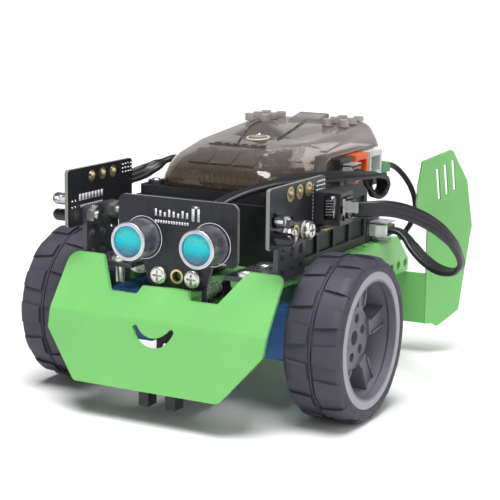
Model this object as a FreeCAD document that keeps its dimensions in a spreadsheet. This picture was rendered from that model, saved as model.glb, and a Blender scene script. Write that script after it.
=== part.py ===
import FreeCAD, Part
import math
import os
import re

import Sketcher

# Two-wheel-drive educational robot car: a bent sheet frame with a bumper and two rear fins, geared motors
# inside the frame, rubber-tyred wheels, a ball caster, a battery base, a controller under a clear hood,
# a distance sensor, two side sensor boards, a line sensor and flat data cables.
# Millimetres; X to the robot's left-hand side as seen from its front, front towards -Y, Z up, ground at zero.
# Every sub-part is drawn about the wheel axle (Y = 0) and placed by axle_y.

Vector = FreeCAD.Vector
X_AXIS, Y_AXIS, Z_AXIS = Vector(1, 0, 0), Vector(0, 1, 0), Vector(0, 0, 1)

SIZES = {
    "axle_y": -37.05,           # the wheel axle from the middle of the robot's length
    "axle_z": 34.15,            # the wheel axle above the ground, which is the tyre's radius
    "sheet": 2,                 # frame and bracket sheet
    "thin_sheet": 1.5,          # bumper and rear plate sheet
    "board": 1.6,               # circuit board thickness
    "pitch": 8,                 # hole grid of the frame and the brackets
    "hole": 2.1,                # radius of a clearance hole for an M4 screw
    "deck_half": 44,            # frame: half width
    "deck_top": 58,
    "deck_front": -23.5,
    "deck_rear": 110.8,
    "flange_low": 40,
    "bracket_leg": 24,
    "bracket_front": -27.5,
    "bumper_half": 50.5,
    "bumper_low_half": 33.8,
    "bumper_top": 63,
    "bumper_low": 14.7,
    "front_screw_z": 41,        # screws that hold the bumper and the line sensor's bracket
    "board_screw_z": 57,        # screws of the distance sensor's board
    "bend_z": 41.6,
    "bend_y": -45.2,
    "bumper_top_y": -29.9,
    "bumper_low_y": -53,
    "rear_y": 111,              # front face of the rear plate
    "rear_half": 54,
    "rear_low": 15,
    "rear_high": 39,
    "base_half": 38,            # battery base
    "base_length": 75,
    "base_top": 84,
    "tray_front": 3,
    "tray_rear": 99,
    "hood_low": 88,
    "hood_top": 103.6,          # roof plane height above the axle
    "hood_rise": 4.6,           # degrees that the roof rises to the rear
    "stud_top": 113,
    "stud_radius": 2.4,
    "sonic_y": -27.6,           # front face of the distance sensor's board
    "sonic_z": 71.7,
    "sonic_half": 28,
    "can_radius": 8,
    "can_length": 12.1,
    "side_x": 46,               # inner face of a side board
    "side_front": -38,
    "side_rear": 10.5,
    "side_low": 74,
    "side_high": 98,
    "line_z": 13,               # underside of the line sensor's board
    "tyre_inner_x": 50.8,
    "tyre_outer_x": 75.6,
    "rim_radius": 28,
    "hub_turn": -7,             # degrees that the spokes are turned at rest
    "gearbox_inner_x": 23,
    "gearbox_outer_x": 42,
    "shaft_radius": 2.7,
    "motor_x": 31,              # motor axis
    "ball_radius": 8,
    "ball_y": 97,
    "port_z": 93.5,             # middle of the main board's data ports
    "side_port_y": 6.7,         # middle of a side board's data port
    "side_port_z": 85.7,
    "base_port_y": 82.4,        # middle of a data port behind the battery box
    "base_port_z": 63.9,
    "window_pitch": 16,         # spacing of the battery box's side windows
    "cable_radius": 1.9,        # flat data cable, as a round tube between its width and its thickness
    "lead_radius": 1.3,
}

doc = FreeCAD.newDocument("robot_car")
sheet = doc.addObject("Spreadsheet::Sheet", "Sizes")
for row, (alias, size) in enumerate(SIZES.items(), 1):
    sheet.set(f"A{row}", alias)
    sheet.set(f"B{row}", str(size))
    sheet.setAlias(f"B{row}", alias)
doc.recompute()

sub_parts = []


def cell(alias):
    """The number in one cell of the sheet."""
    return float(sheet.get(alias))


def bound(text):
    """The text with each size's name written as a reference to its cell."""
    return re.sub(r"[a-z][a-z_]*", lambda word: "Sizes." + word.group() if word.group() in SIZES else word.group(),
                  str(text))


def place(part):
    """Puts a finished sub-part in the robot's frame and lists it for its file."""
    part.setExpression("Placement.Base.y", bound("axle_y"))
    sub_parts.append(part)
    return part


# ---------------------------------------------------------------- sketches and bodies

def new_body(name):
    return doc.addObject("PartDesign::Body", name)


def new_sketch(body, plane, offset="0"):
    """A sketch on one of the body's own origin planes, moved along its normal."""
    flat = body.newObject("Sketcher::SketchObject", body.Name + "_sketch")
    origin_plane = next(item for item in body.Origin.OriginFeatures if item.Role == plane + "_Plane")
    flat.AttachmentSupport = [(origin_plane, "")]
    flat.MapMode = "FlatFace"
    flat.setExpression("AttachmentOffset.Base.z", bound(offset))
    return flat


def pin_point(flat, geometry, point, x, y):
    """Holds one point of a sketch at two bound distances from the sketch's origin."""
    for kind, distance in (("DistanceX", x), ("DistanceY", y)):
        number = flat.addConstraint(Sketcher.Constraint(kind, -1, 1, geometry, point, 1.0))
        flat.setExpression(f"Constraints[{number}]", bound(distance))


def add_polygon(flat, corners):
    first = flat.GeometryCount
    count = len(corners)
    ring = [Vector(math.cos(math.tau * k / count), math.sin(math.tau * k / count), 0) for k in range(count)]
    for k in range(count):
        flat.addGeometry(Part.LineSegment(ring[k], ring[(k + 1) % count]))
    for k, (x, y) in enumerate(corners):
        flat.addConstraint(Sketcher.Constraint("Coincident", first + k, 2, first + (k + 1) % count, 1))
        pin_point(flat, first + k, 1, x, y)


def add_box(flat, low_x, low_y, high_x, high_y):
    add_polygon(flat, [(low_x, low_y), (high_x, low_y), (high_x, high_y), (low_x, high_y)])


def add_circle(flat, x, y, radius):
    number = flat.addGeometry(Part.Circle(Vector(0, 0, 0), Z_AXIS, 1))
    pin_point(flat, number, 3, x, y)
    constraint = flat.addConstraint(Sketcher.Constraint("Radius", number, 1.0))
    flat.setExpression(f"Constraints[{constraint}]", bound(radius))


def pad(body, flat, length, reverse=False):
    feature = body.newObject("PartDesign::Pad", body.Name + "_pad")
    feature.Profile = flat
    feature.setExpression("Length", bound(length))
    feature.Reversed = reverse
    return feature


def pocket(body, flat, length, reverse=False):
    """Cuts the sketch into the body, and makes sure that it did cut."""
    doc.recompute()
    before = body.Shape.Volume
    feature = body.newObject("PartDesign::Pocket", body.Name + "_pocket")
    feature.Profile = flat
    feature.setExpression("Length", bound(length))
    feature.Reversed = reverse
    doc.recompute()
    if body.Shape.Volume > before - 0.01:
        raise RuntimeError(f"{feature.Name} cuts nothing")
    return feature


def round_edges(body, radius, wanted):
    """Rounds the edges of the body's tip that pass the test."""
    doc.recompute()
    tip = body.Tip
    names = [f"Edge{k}" for k, edge in enumerate(tip.Shape.Edges, 1) if wanted(edge)]
    if not names:
        raise RuntimeError(f"{body.Name} has no such edges")
    feature = body.newObject("PartDesign::Fillet", body.Name + "_fillet")
    feature.Base = (tip, names)
    feature.setExpression("Radius", bound(radius))
    doc.recompute()
    return feature


def runs_along(edge, axis):
    """True for a straight edge along the axis."""
    if edge.Curve.TypeId != "Part::GeomLine":
        return False
    return abs(edge.tangentAt(edge.FirstParameter).dot(axis)) > 0.999


def join(name, kind, parts):
    """A boolean of two or more objects of the document."""
    feature = doc.addObject("Part::" + kind, name)
    if kind == "Cut":
        feature.Base, feature.Tool = parts
    else:
        feature.Shapes = parts
    return feature


def shape_part(name, shape):
    """A sub-part whose shape is made by functions."""
    feature = doc.addObject("Part::Feature", name)
    feature.Shape = shape
    return place(feature)


def mirror_part(name, source):
    """The same piece on the robot's other side."""
    feature = doc.addObject("Part::Mirroring", name)
    feature.Source = source
    feature.Normal = X_AXIS
    sub_parts.append(feature)
    return feature


# ---------------------------------------------------------------- plain shapes for groups of small pieces

def block(low, high):
    """A box from its lowest to its highest corner."""
    low, high = Vector(*low), Vector(*high)
    return Part.makeBox(high.x - low.x, high.y - low.y, high.z - low.z, low)


def rod(radius, length, start, axis):
    return Part.makeCylinder(radius, length, Vector(*start), axis)


def both_sides(shape):
    """The shape and its mirror image across the robot's middle plane."""
    return [shape, shape.mirror(Vector(0, 0, 0), X_AXIS)]


HEAD_RADIUS, HEAD_HEIGHT, SHANK_RADIUS = 3.75, 2.4, 1.9
NUT_ACROSS_FLATS, NUT_HEIGHT = 7.0, 3.2


def screw(seat, axis, length):
    """A pan-head screw with a cross recess; its head stands on the seat point, its shank runs along the axis."""
    seat = Vector(*seat)
    out = axis * -1
    head = Part.makeCylinder(HEAD_RADIUS, HEAD_HEIGHT, seat, out)
    top_edges = [edge for edge in head.Edges if (edge.CenterOfMass - seat).dot(out) > HEAD_HEIGHT - 0.1
                 and edge.Curve.TypeId == "Part::GeomCircle"]
    head = head.makeFillet(1.2, top_edges)
    side = axis.cross(X_AXIS) if abs(axis.x) < 0.5 else axis.cross(Y_AXIS)
    for direction in (side, axis.cross(side)):
        slot = Part.makeBox(4.4, 0.9, 1.5, Vector(-2.2, -0.45, 0))
        turn = FreeCAD.Rotation(direction, axis.cross(direction), axis, "XZY")
        slot.Placement = FreeCAD.Placement(seat + out * HEAD_HEIGHT, turn)
        head = head.cut(slot)
    return head.fuse(Part.makeCylinder(SHANK_RADIUS, length, seat, axis))


def nut(start, axis):
    """A hexagon nut round a screw's shank, from the start point along the axis."""
    start = Vector(*start)
    side = axis.cross(X_AXIS) if abs(axis.x) < 0.5 else axis.cross(Y_AXIS)
    other = axis.cross(side)
    corner = NUT_ACROSS_FLATS / 2 / math.cos(math.pi / 6)
    ring = [start + side * (corner * math.cos(math.tau * k / 6)) + other * (corner * math.sin(math.tau * k / 6))
            for k in range(7)]
    prism = Part.Face(Part.makePolygon(ring)).extrude(axis * NUT_HEIGHT)
    return prism.cut(Part.makeCylinder(SHANK_RADIUS + 0.02, NUT_HEIGHT + 2, start - axis, axis))


# ---------------------------------------------------------------- frame

def make_chassis():
    """Channel-shaped frame: a deck with two side flanges that also carry the motors."""
    body = new_body("chassis_frame")
    deck = new_sketch(body, "XY", "deck_top - sheet")
    right = [("14", "deck_front"), ("24", "-10"), ("deck_half", "-10"), ("deck_half", "98"), ("20", "98"),
             ("20", "deck_rear")]
    left = [(f"-({x})", y) for x, y in reversed(right)]
    add_polygon(deck, right + left)
    pad(body, deck, "sheet")
    for offset in ("deck_half - sheet", "-deck_half"):
        flange = new_sketch(body, "YZ", offset)
        add_polygon(flange, [("6", "deck_top"), ("6", "22"), ("33", "22"), ("41", "flange_low"),
                             ("deck_rear", "flange_low"), ("deck_rear", "flange_low + 6"), ("98", "deck_top")])
        pad(body, flange, "sheet")
    round_edges(body, "1.6", lambda edge: runs_along(edge, Y_AXIS)
                and abs(abs(edge.CenterOfMass.x) - cell("deck_half")) < 0.01
                and abs(edge.CenterOfMass.z - cell("deck_top")) < 0.01)
    holes = new_sketch(body, "XY", "deck_top + 1")
    for sign in ("", "-"):
        for k in range(11):
            add_circle(holes, f"{sign}39", f"4 + {k} * pitch", "hole - 0.2")
        for x, y in ((24, 78), (24, 94), (8, 104), (8, -16), (8, -8), (30, -7.5), (38, -7.5)):
            add_circle(holes, f"{sign}{x}", str(y), "hole")
        add_polygon(holes, [(f"{sign}14.5", "-9.5"), (f"{sign}21.5", "-9.5"), (f"{sign}14.5", "-18")])
    pocket(body, holes, "sheet + 2")
    side_holes = new_sketch(body, "YZ", "deck_half + 1")
    for k in range(9):
        add_circle(side_holes, f"43.4 + {k} * pitch", "44", "hole")
    for z in ("axle_z - 8.4", "axle_z + 8.4"):
        add_circle(side_holes, "20.5", z, "1.65")
    pocket(body, side_holes, "2 * deck_half + 2")
    return place(body)


def make_front_bracket():
    """Angle bracket over the deck's front edge, for the distance sensor and the bumper."""
    body = new_body("front_bracket")
    upright = new_sketch(body, "XY", "deck_top - 21.5")
    add_box(upright, "-bracket_leg / 2", "-26", "bracket_leg / 2", "-24")
    pad(body, upright, "23.5")
    foot = new_sketch(body, "XY", "deck_top")
    add_box(foot, "-bracket_leg / 2", "-26", "bracket_leg / 2", "-4")
    pad(body, foot, "sheet")
    round_edges(body, "1.2", lambda edge: runs_along(edge, X_AXIS)
                and abs(edge.CenterOfMass.y + 26) < 0.01 and edge.CenterOfMass.z > cell("deck_top"))
    face = new_sketch(body, "XZ", "30")
    for column in (-1, 0, 1):
        for row in range(3):
            add_circle(face, f"{column} * pitch", f"front_screw_z + {row} * pitch", "hole")
    pocket(body, face, "8")
    top = new_sketch(body, "XY", "deck_top + 3")
    for column in (-1, 0, 1):
        for y in ("-8", "-16"):
            add_circle(top, f"{column} * pitch", y, "hole")
    pocket(body, top, "4")
    return place(body)


def make_side_bracket():
    """Angle bracket on the deck's right front corner, for a side sensor board."""
    body = new_body("right_bracket")
    upright = new_sketch(body, "YZ", "side_x - sheet")
    add_box(upright, "bracket_front", "deck_top", "bracket_front + bracket_leg", "deck_top + bracket_leg")
    pad(body, upright, "sheet")
    foot = new_sketch(body, "XY", "deck_top")
    add_box(foot, "side_x - bracket_leg", "bracket_front", "side_x", "bracket_front + bracket_leg")
    pad(body, foot, "sheet")
    round_edges(body, "1.5", lambda edge: runs_along(edge, Y_AXIS)
                and abs(edge.CenterOfMass.x - cell("side_x")) < 0.01
                and abs(edge.CenterOfMass.z - cell("deck_top")) < 0.01)
    round_edges(body, "2", lambda edge: runs_along(edge, X_AXIS)
                and edge.CenterOfMass.z > cell("deck_top") + cell("bracket_leg") - 0.1)
    face = new_sketch(body, "YZ", "side_x + 1")
    for row in (1, 3, 5):
        for z in ("62.3", "70", "78"):
            add_circle(face, f"bracket_front + {row} * pitch / 2", z, "hole")
    pocket(body, face, "sheet + 2")
    top = new_sketch(body, "XY", "deck_top + 3")
    for x in ("30", "38"):
        for row in (1, 3, 5):
            add_circle(top, x, f"bracket_front + {row} * pitch / 2", "hole")
    pocket(body, top, "4")
    return place(body)


def make_bumper():
    """Bent front panel with two ears, a smile-shaped slot and a rear tab that is screwed to the front bracket."""
    outline = new_body("bumper_outline")
    front = new_sketch(outline, "XZ", "20")
    right = [("bumper_low_half", "bumper_low"), ("bumper_half - 0.4", "33.9"), ("bumper_half", "bend_z"),
             ("bumper_half - 0.3", "bumper_top"), ("34.2", "bumper_top"), ("25.2", "50.4"), ("12.3", "50.4"),
             ("10.8", "53.6")]
    left = [(f"-({x})", y) for x, y in reversed(right)]
    add_polygon(front, right + left)
    pad(outline, front, "40")

    def corner(x, z):
        return lambda edge: (runs_along(edge, Y_AXIS) and abs(abs(edge.CenterOfMass.x) - x) < 0.05
                             and abs(edge.CenterOfMass.z - z) < 0.05)
    round_edges(outline, "4", corner(50.2, 63))
    round_edges(outline, "3", corner(34.2, 63))
    round_edges(outline, "2.5", corner(33.8, 14.7))
    round_edges(outline, "2", corner(25.2, 50.4))
    round_edges(outline, "1.2", corner(12.3, 50.4))
    smile = new_sketch(outline, "XZ", "70")
    top_left, top_right = Vector(-7.4, 39.2, 0), Vector(7.4, 39.2, 0)
    low_left, low_right = Vector(-9.6, 38.2, 0), Vector(9.6, 38.2, 0)
    arcs = ((low_left, Vector(0, 31.2, 0), low_right), (low_right, Vector(8.7, 39.6, 0), top_right),
            (top_right, Vector(0, 35.4, 0), top_left), (top_left, Vector(-8.7, 39.6, 0), low_left))
    for points in arcs:
        smile.addGeometry(Part.Arc(*points))
    pocket(outline, smile, "100")

    profile = new_body("bumper_profile")
    side = new_sketch(profile, "YZ", "-60")
    top_slope = "(bumper_top_y - bend_y) / (bumper_top - bend_z)"
    low_slope = "(bend_y - bumper_low_y) / (bend_z - bumper_low)"
    add_polygon(side, [(f"bend_y - ({low_slope}) * (bend_z - 12)", "12"), ("bend_y", "bend_z"),
                       (f"bend_y + ({top_slope}) * (66 - bend_z)", "66"),
                       (f"bend_y + ({top_slope}) * (66 - bend_z) + 1.85", "66"),
                       ("bend_y + 1.7", "bend_z - 0.2"),
                       (f"bend_y - ({low_slope}) * (bend_z - 12) + 1.56", "12")])
    pad(profile, side, "120")
    round_edges(profile, "7", lambda edge: runs_along(edge, X_AXIS)
                and abs(edge.CenterOfMass.y - cell("bend_y")) < 0.05)
    round_edges(profile, "5.5", lambda edge: runs_along(edge, X_AXIS)
                and abs(edge.CenterOfMass.y - cell("bend_y") - 1.7) < 0.05)

    tab = new_body("bumper_tab")
    arm = new_sketch(tab, "YZ", "-10.8")
    add_polygon(arm, [("-37.2", "50.5"), ("-27.5", "50.5"), ("-27.5", "36.5"), ("-26", "36.5"),
                      ("-26", "52"), ("-37.2", "52")])
    pad(tab, arm, "21.6")
    holes = new_sketch(tab, "XZ", "30")
    for sign in ("", "-"):
        add_circle(holes, sign + "pitch", "front_screw_z", "hole")
    pocket(tab, holes, "8")
    panel = join("bumper_panel", "MultiCommon", [outline, profile])
    return place(join("front_bumper", "MultiFuse", [panel, tab]))


def make_rear_plate():
    """Rear cross plate with a foot for the caster, a tab under the deck and two slotted fins turned outwards."""
    middle = new_body("rear_middle")
    face = new_sketch(middle, "XZ", "-rear_y - thin_sheet")
    add_polygon(face, [("-rear_half", "rear_low"), ("rear_half", "rear_low"), ("rear_half", "rear_high"),
                       ("16", "rear_high"), ("16", "deck_top - sheet - 0.1"), ("-16", "deck_top - sheet - 0.1"),
                       ("-16", "rear_high"), ("-rear_half", "rear_high")])
    pad(middle, face, "thin_sheet")
    tab = new_sketch(middle, "XY", "deck_top - sheet - 1.6")
    add_box(tab, "-16", "98", "16", "rear_y + thin_sheet")
    pad(middle, tab, "thin_sheet")
    foot = new_sketch(middle, "XY", "rear_low")
    add_box(foot, "-20", "82", "20", "rear_y + thin_sheet")
    pad(middle, foot, "thin_sheet")
    holes = new_sketch(middle, "XY", "deck_top + 1")
    for sign in ("", "-"):
        add_circle(holes, sign + "pitch", "104", "hole")
        add_circle(holes, sign + "15", "ball_y", "hole")
    add_circle(holes, "0", "ball_y", "4.6")
    pocket(middle, holes, "deck_top")

    outline = new_body("fin_outline")
    side = new_sketch(outline, "XZ", "-8")
    add_polygon(side, [("-0.9", "rear_low"), ("3", "rear_low"), ("5", "13.2"), ("16", "21"), ("21.3", "61.4"),
                       ("17.2", "83.4"), ("8.6", "98.2"), ("-5.9", "92.9"), ("-7.3", "81.8"), ("-7.5", "72.4"),
                       ("-1.2", "60"), ("-0.9", "rear_high")])
    pad(outline, side, "16")
    round_edges(outline, "1.5", lambda edge: runs_along(edge, Y_AXIS) and edge.CenterOfMass.x > 2)
    slots = new_sketch(outline, "XZ", "20")
    for k in range(3):
        x, z = 1.6 + 3.7 * k, 75 + 2 * k
        add_polygon(slots, [(f"{x + 1.5}", f"{z}"), (f"{x + 2.9}", f"{z - 0.3}"), (f"{x + 0.9}", f"{z + 14.3}"),
                            (f"{x - 0.6}", f"{z + 14}")])
    pocket(outline, slots, "40")
    profile = new_body("fin_profile")
    edge_on = new_sketch(profile, "YZ", "-12")
    lean = [("0", "8"), ("0", "56"), ("-0.12", "59"), ("-0.4", "62"), ("-3.6", "102")]
    add_polygon(edge_on, lean + [(f"{y} + thin_sheet", z) for y, z in reversed(lean)])
    pad(profile, edge_on, "40")
    fin = join("right_fin", "MultiCommon", [outline, profile])
    fin.Placement.Rotation = FreeCAD.Rotation(Z_AXIS, 45)
    fin.setExpression("Placement.Base.x", bound("rear_half + 0.3"))
    fin.setExpression("Placement.Base.y", bound("rear_y + 0.2"))
    other = doc.addObject("Part::Mirroring", "left_fin")
    other.Source = fin
    other.Normal = X_AXIS
    return place(join("rear_fin_plate", "MultiFuse", [middle, fin, other]))


# ---------------------------------------------------------------- battery base and controller

def make_base():
    """Open battery box with ribbed sides."""
    body = new_body("battery_box")
    outer = new_sketch(body, "XY", "deck_top")
    add_box(outer, "-base_half", "0", "base_half", "base_length")
    pad(body, outer, "base_top - deck_top")
    inner = new_sketch(body, "XY", "base_top")
    add_box(inner, "3 - base_half", "3", "base_half - 3", "base_length - 3")
    pocket(body, inner, "base_top - deck_top - 2")
    for side_plane, turned in (("base_half", False), ("-base_half", True)):
        windows = new_sketch(body, "YZ", side_plane)
        for column in range(4):
            for row in range(2):
                add_box(windows, f"10.2 + {column} * window_pitch", f"62 + {row} * 10.5",
                        f"23.8 + {column} * window_pitch", f"70 + {row} * 10.5")
        pocket(body, windows, "1.2", turned)
    return place(body)


def battery_cells():
    """Four AA cells side by side."""
    cells = []
    for k in range(4):
        x = (k - 1.5) * 15.2
        can = rod(7.15, 49, (x, 12, 67.4), Y_AXIS)
        nub = rod(2.7, 1.2, (x, 61, 67.4), Y_AXIS)
        cells.append(can.fuse(nub))
    return Part.makeCompound(cells)


def make_tray():
    """Shallow tray that holds the main board; its rim carries the hood."""
    body = new_body("controller_tray")
    outer = new_sketch(body, "XY", "base_top")
    add_box(outer, "-base_half", "tray_front", "base_half", "tray_rear")
    pad(body, outer, "hood_low - base_top")
    round_edges(body, "3", lambda edge: runs_along(edge, Z_AXIS))
    inner = new_sketch(body, "XY", "hood_low")
    add_box(inner, "1.8 - base_half", "tray_front + 1.8", "base_half - 1.8", "tray_rear - 1.8")
    pocket(body, inner, "hood_low - base_top - 1.2")
    ports = new_sketch(body, "YZ", "base_half + 1")
    add_box(ports, "45", "87.4", "100", "hood_low + 1")
    pocket(body, ports, "2 * base_half + 2")
    return place(body)


def hood_section(body, height, tilt, half_front, front, shoulder, half, rear, inset):
    """One six-sided cross-section of the hood."""
    flat = new_sketch(body, "XY", "0")
    flat.setExpression("AttachmentOffset.Base.z", bound(height))
    flat.setExpression("AttachmentOffset.Rotation.Axis.x", "1")
    flat.setExpression("AttachmentOffset.Rotation.Axis.z", "0")
    flat.setExpression("AttachmentOffset.Rotation.Angle", bound(tilt))
    add_polygon(flat, [(f"-({half_front} - {inset})", f"{front} + {inset}"),
                       (f"{half_front} - {inset}", f"{front} + {inset}"),
                       (f"{half} - {inset}", f"{shoulder} + {inset} / 2"), (f"{half} - {inset}", f"{rear} - {inset}"),
                       (f"-({half} - {inset})", f"{rear} - {inset}"),
                       (f"-({half} - {inset})", f"{shoulder} + {inset} / 2")])
    return flat


def hood_solid(name, inset):
    """The hood's outer form, or its hollow, lofted through three cross-sections."""
    body = new_body(name)
    sections = ((f"hood_low - {0.01 if inset else 0}", "0", 26.5, "tray_front + 0.6", 24, 37.4, "tray_rear - 0.2"),
                ("97.2", "0.8", 24, "tray_front + 1.4", 26, 35.6, "tray_rear - 0.3"),
                (f"hood_top - {inset}", "hood_rise", 15, "20", 44, 28.6, "tray_rear - 0.5"))
    flats = [hood_section(body, *section, inset) for section in sections]
    loft = body.newObject("PartDesign::AdditiveLoft", name + "_loft")
    loft.Profile = flats[0]
    loft.Sections = flats[1:]
    loft.Ruled = True
    return body


def make_hood():
    """Clear streamlined hood with stud rows on its roof, port windows in its sides and a button hole."""
    outer = hood_solid("hood_outer", 0)
    for sign in ("", "-"):
        for x in ("2 * pitch", "3 * pitch"):
            for row in range(3):
                y = 78 + row * cell("pitch")
                seat = new_sketch(outer, "XY", "108")
                add_circle(seat, f"{sign}{x}", f"{y}", "stud_radius + 1.3")
                pad(outer, seat, f"hood_top + {y} * tan(hood_rise) + 0.45 - 108")
                stud = new_sketch(outer, "XY", "108")
                add_circle(stud, f"{sign}{x}", f"{y}", "stud_radius")
                pad(outer, stud, "stud_top - 108")
    inner = hood_solid("hood_inner", 1.6)
    openings = new_body("hood_openings")
    ports = new_sketch(openings, "YZ", "-base_half - 2")
    add_box(ports, "45", "80", "104", "99.8")
    pad(openings, ports, "2 * base_half + 4")
    rear = new_sketch(openings, "XZ", "-tray_rear - 3")
    add_box(rear, "-30", "80", "38.5", "99.8")
    pad(openings, rear, "20")
    button = new_sketch(openings, "XY", "98")
    add_circle(button, "0", "41", "4.3")
    pad(openings, button, "14")
    return place(join("shell_cover", "Cut", [outer, join("hood_hollow", "MultiFuse", [inner, openings])]))


def socket(low, high, face, depth=10.4):
    """A data socket: a block with a stepped opening in the face towards the given axis."""
    shape = block(low, high)
    centre = (Vector(*low) + Vector(*high)) * 0.5
    half = (Vector(*high) - Vector(*low)) * 0.5
    across = [axis for axis in (X_AXIS, Y_AXIS, Z_AXIS) if abs(axis.dot(face)) < 0.5]
    wide = max(across, key=lambda axis: abs(half.dot(axis)))
    other = next(axis for axis in across if axis != wide)
    mouth = centre + face * abs(half.dot(face))
    for half_wide, half_other, deep, shift in ((4.9, 3.4, depth, 0), (1.7, 1.2, depth - 1, -4.4)):
        corner = Vector(0, 0, 0)
        for axis, size in ((wide, half_wide), (other, half_other)):
            corner = corner - axis * size
        middle = mouth + other * shift
        start = middle + corner
        end = middle - corner - face * deep
        low_corner = Vector(min(start.x, end.x), min(start.y, end.y), min(start.z, end.z))
        high_corner = Vector(max(start.x, end.x), max(start.y, end.y), max(start.z, end.z))
        shape = shape.cut(block(tuple(low_corner), tuple(high_corner)))
    return shape


PORTS = {"black": 52, "orange": 68.2, "white": 83.4}
PORT_HALF_WIDTH, PORT_HALF_HEIGHT = 6.6, 5.9
SIDE_SOCKET_LENGTH = 11.6


def port_pair(colour):
    """A socket at each side of the main board."""
    middle, z = PORTS[colour], cell("port_z")
    low = (25.2, middle - PORT_HALF_WIDTH, z - PORT_HALF_HEIGHT)
    high = (cell("base_half"), middle + PORT_HALF_WIDTH, z + PORT_HALF_HEIGHT)
    return both_sides(socket(low, high, X_AXIS))


def make_small_electronics():
    """Everything on the main board and the sensor boards that is too small to be drawn on its own."""
    shape_part("orange_sockets", Part.makeCompound(port_pair("orange")))
    shape_part("white_sockets", Part.makeCompound(port_pair("white")))
    side_x, thick = cell("side_x"), cell("board")
    outer = side_x + thick
    y, z = cell("side_port_y"), cell("side_port_z")
    side = both_sides(socket((outer, y - PORT_HALF_HEIGHT, z - PORT_HALF_WIDTH),
                             (outer + SIDE_SOCKET_LENGTH, y + PORT_HALF_HEIGHT, z + PORT_HALF_WIDTH), X_AXIS, 9.6))
    sonic = socket((6.4, -26, 67), (19.6, -14.2, 79), Z_AXIS, 9)
    line = socket((-6.6, -20.4, 14.6), (6.6, -9, 26.4), Y_AXIS, 9.6)
    y, z = cell("base_port_y"), cell("base_port_z")
    base = both_sides(socket((26, y - PORT_HALF_WIDTH, z - PORT_HALF_HEIGHT),
                             (cell("base_half"), y + PORT_HALF_WIDTH, z + PORT_HALF_HEIGHT), X_AXIS, 6.4))
    shape_part("black_sockets", Part.makeCompound(port_pair("black") + side + base + [sonic, line]))
    chips = [block((-8, 40, 87.6), (6, 54, 89.2)), block((-22, 62, 87.6), (-12, 72, 89.8)),
             block((8, 66, 87.6), (18, 74, 89.6)), block((-18, 20, 87.6), (-10, 25, 90.6)),
             block((12, 22, 87.6), (20, 30, 89.4))]
    chips += [rod(3.1, 7, (x, y, 87.6), Z_AXIS) for x, y in ((-4, 24), (4, 24), (16, 48), (-18, 48))]
    shape_part("main_chips", Part.makeCompound(chips))
    usb = block((-18, 86, 87.6), (-6, 99, 98.4)).cut(block((-16.8, 92, 88.8), (-7.2, 99.5, 97.2)))
    shape_part("usb_socket", usb)
    terminal = block((31.6, 93.4, 87.6), (37, 102.4, 92)).cut(rod(1.4, 3, (34.3, 100, 92.5), Z_AXIS * -1))
    shape_part("terminal_block", terminal)


def make_main_board():
    """Main circuit board on the tray."""
    plate = doc.addObject("Part::Box", "main_board")
    plate.setExpression("Length", bound("2 * (base_half - 2.2)"))
    plate.setExpression("Width", bound("tray_rear - tray_front - 4.4"))
    plate.setExpression("Height", bound("board"))
    plate.setExpression("Placement.Base.x", bound("2.2 - base_half"))
    plate.setExpression("Placement.Base.y", bound("axle_y + tray_front + 2.2"))
    plate.setExpression("Placement.Base.z", bound("hood_low - 0.4 - board"))
    sub_parts.append(plate)


def make_controls():
    """Round button in the roof and the slide switch at the rear."""
    roof = cell("hood_top") + 41 * math.tan(math.radians(cell("hood_rise")))
    cap = rod(4, 6, (0, 41, roof - 5.2), Z_AXIS)
    top = [edge for edge in cap.Edges if edge.CenterOfMass.z > roof and edge.Curve.TypeId == "Part::GeomCircle"]
    cap = cap.makeFillet(0.4, top)
    stem = rod(1.5, roof - 5.2 - 91.6, (0, 41, 91.6), Z_AXIS)
    shape_part("hood_button", cap.fuse(stem))
    case = block((-29, 90, 87.6), (-20, 95.6, 93)).cut(block((-27.4, 93, 89), (-21.6, 96, 91.6)))
    shape_part("switch_case", case)
    lever = block((-27.2, 93.2, 89.2), (-24.2, 95.4, 91.4)).fuse(block((-26.6, 95.4, 89.4), (-24.8, 100.4, 91.2)))
    shape_part("switch_slider", lever.removeSplitter())


# ---------------------------------------------------------------- sensors

def make_sonic_board():
    """Distance sensor board with a narrow tab for its two screws."""
    body = new_body("ultrasonic_board")
    face = new_sketch(body, "XZ", "-sonic_y")
    add_polygon(face, [("-sonic_half", "63"), ("-16.5", "63"), ("-13.6", "53"), ("13.6", "53"), ("16.5", "63"),
                       ("sonic_half", "63"), ("sonic_half", "89"), ("-sonic_half", "89")])
    pad(body, face, "board", True)
    round_edges(body, "3", lambda edge: runs_along(edge, Y_AXIS)
                and abs(edge.CenterOfMass.x) > 20 and edge.CenterOfMass.z > 60)
    round_edges(body, "1.5", lambda edge: runs_along(edge, Y_AXIS)
                and abs(edge.CenterOfMass.x) < 14 and edge.CenterOfMass.z < 60)
    holes = new_sketch(body, "XZ", "-sonic_y + 1")
    for column in (-1, 1):
        add_circle(holes, f"{column} * pitch", "board_screw_z", "hole")
    add_circle(holes, "0", "board_screw_z", "2.62")
    pocket(body, holes, "board + 2")
    return place(body)


def transducer_cans():
    """Two round metal cans, each open at the front round its mesh."""
    cans = []
    front, radius, length = cell("sonic_y"), cell("can_radius"), cell("can_length")
    for x in (-16, 16):
        can = rod(radius, length, (x, front - length, cell("sonic_z")), Y_AXIS)
        rim = [edge for edge in can.Edges if edge.Curve.TypeId == "Part::GeomCircle"
               and edge.CenterOfMass.y < front - length + 0.1]
        can = can.makeFillet(0.5, rim)
        cans.append(can.cut(rod(radius - 1.5, 2.6, (x, front - length - 0.1, cell("sonic_z")), Y_AXIS)))
    return Part.makeCompound(cans)


def transducer_meshes():
    """A shallow domed mesh disc in each can."""
    front, length = cell("sonic_y"), cell("can_length")
    discs = [rod(6.45, 0.8, (x, front - length + 0.9, cell("sonic_z")), Y_AXIS) for x in (-16, 16)]
    return Part.makeCompound(discs)


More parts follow.
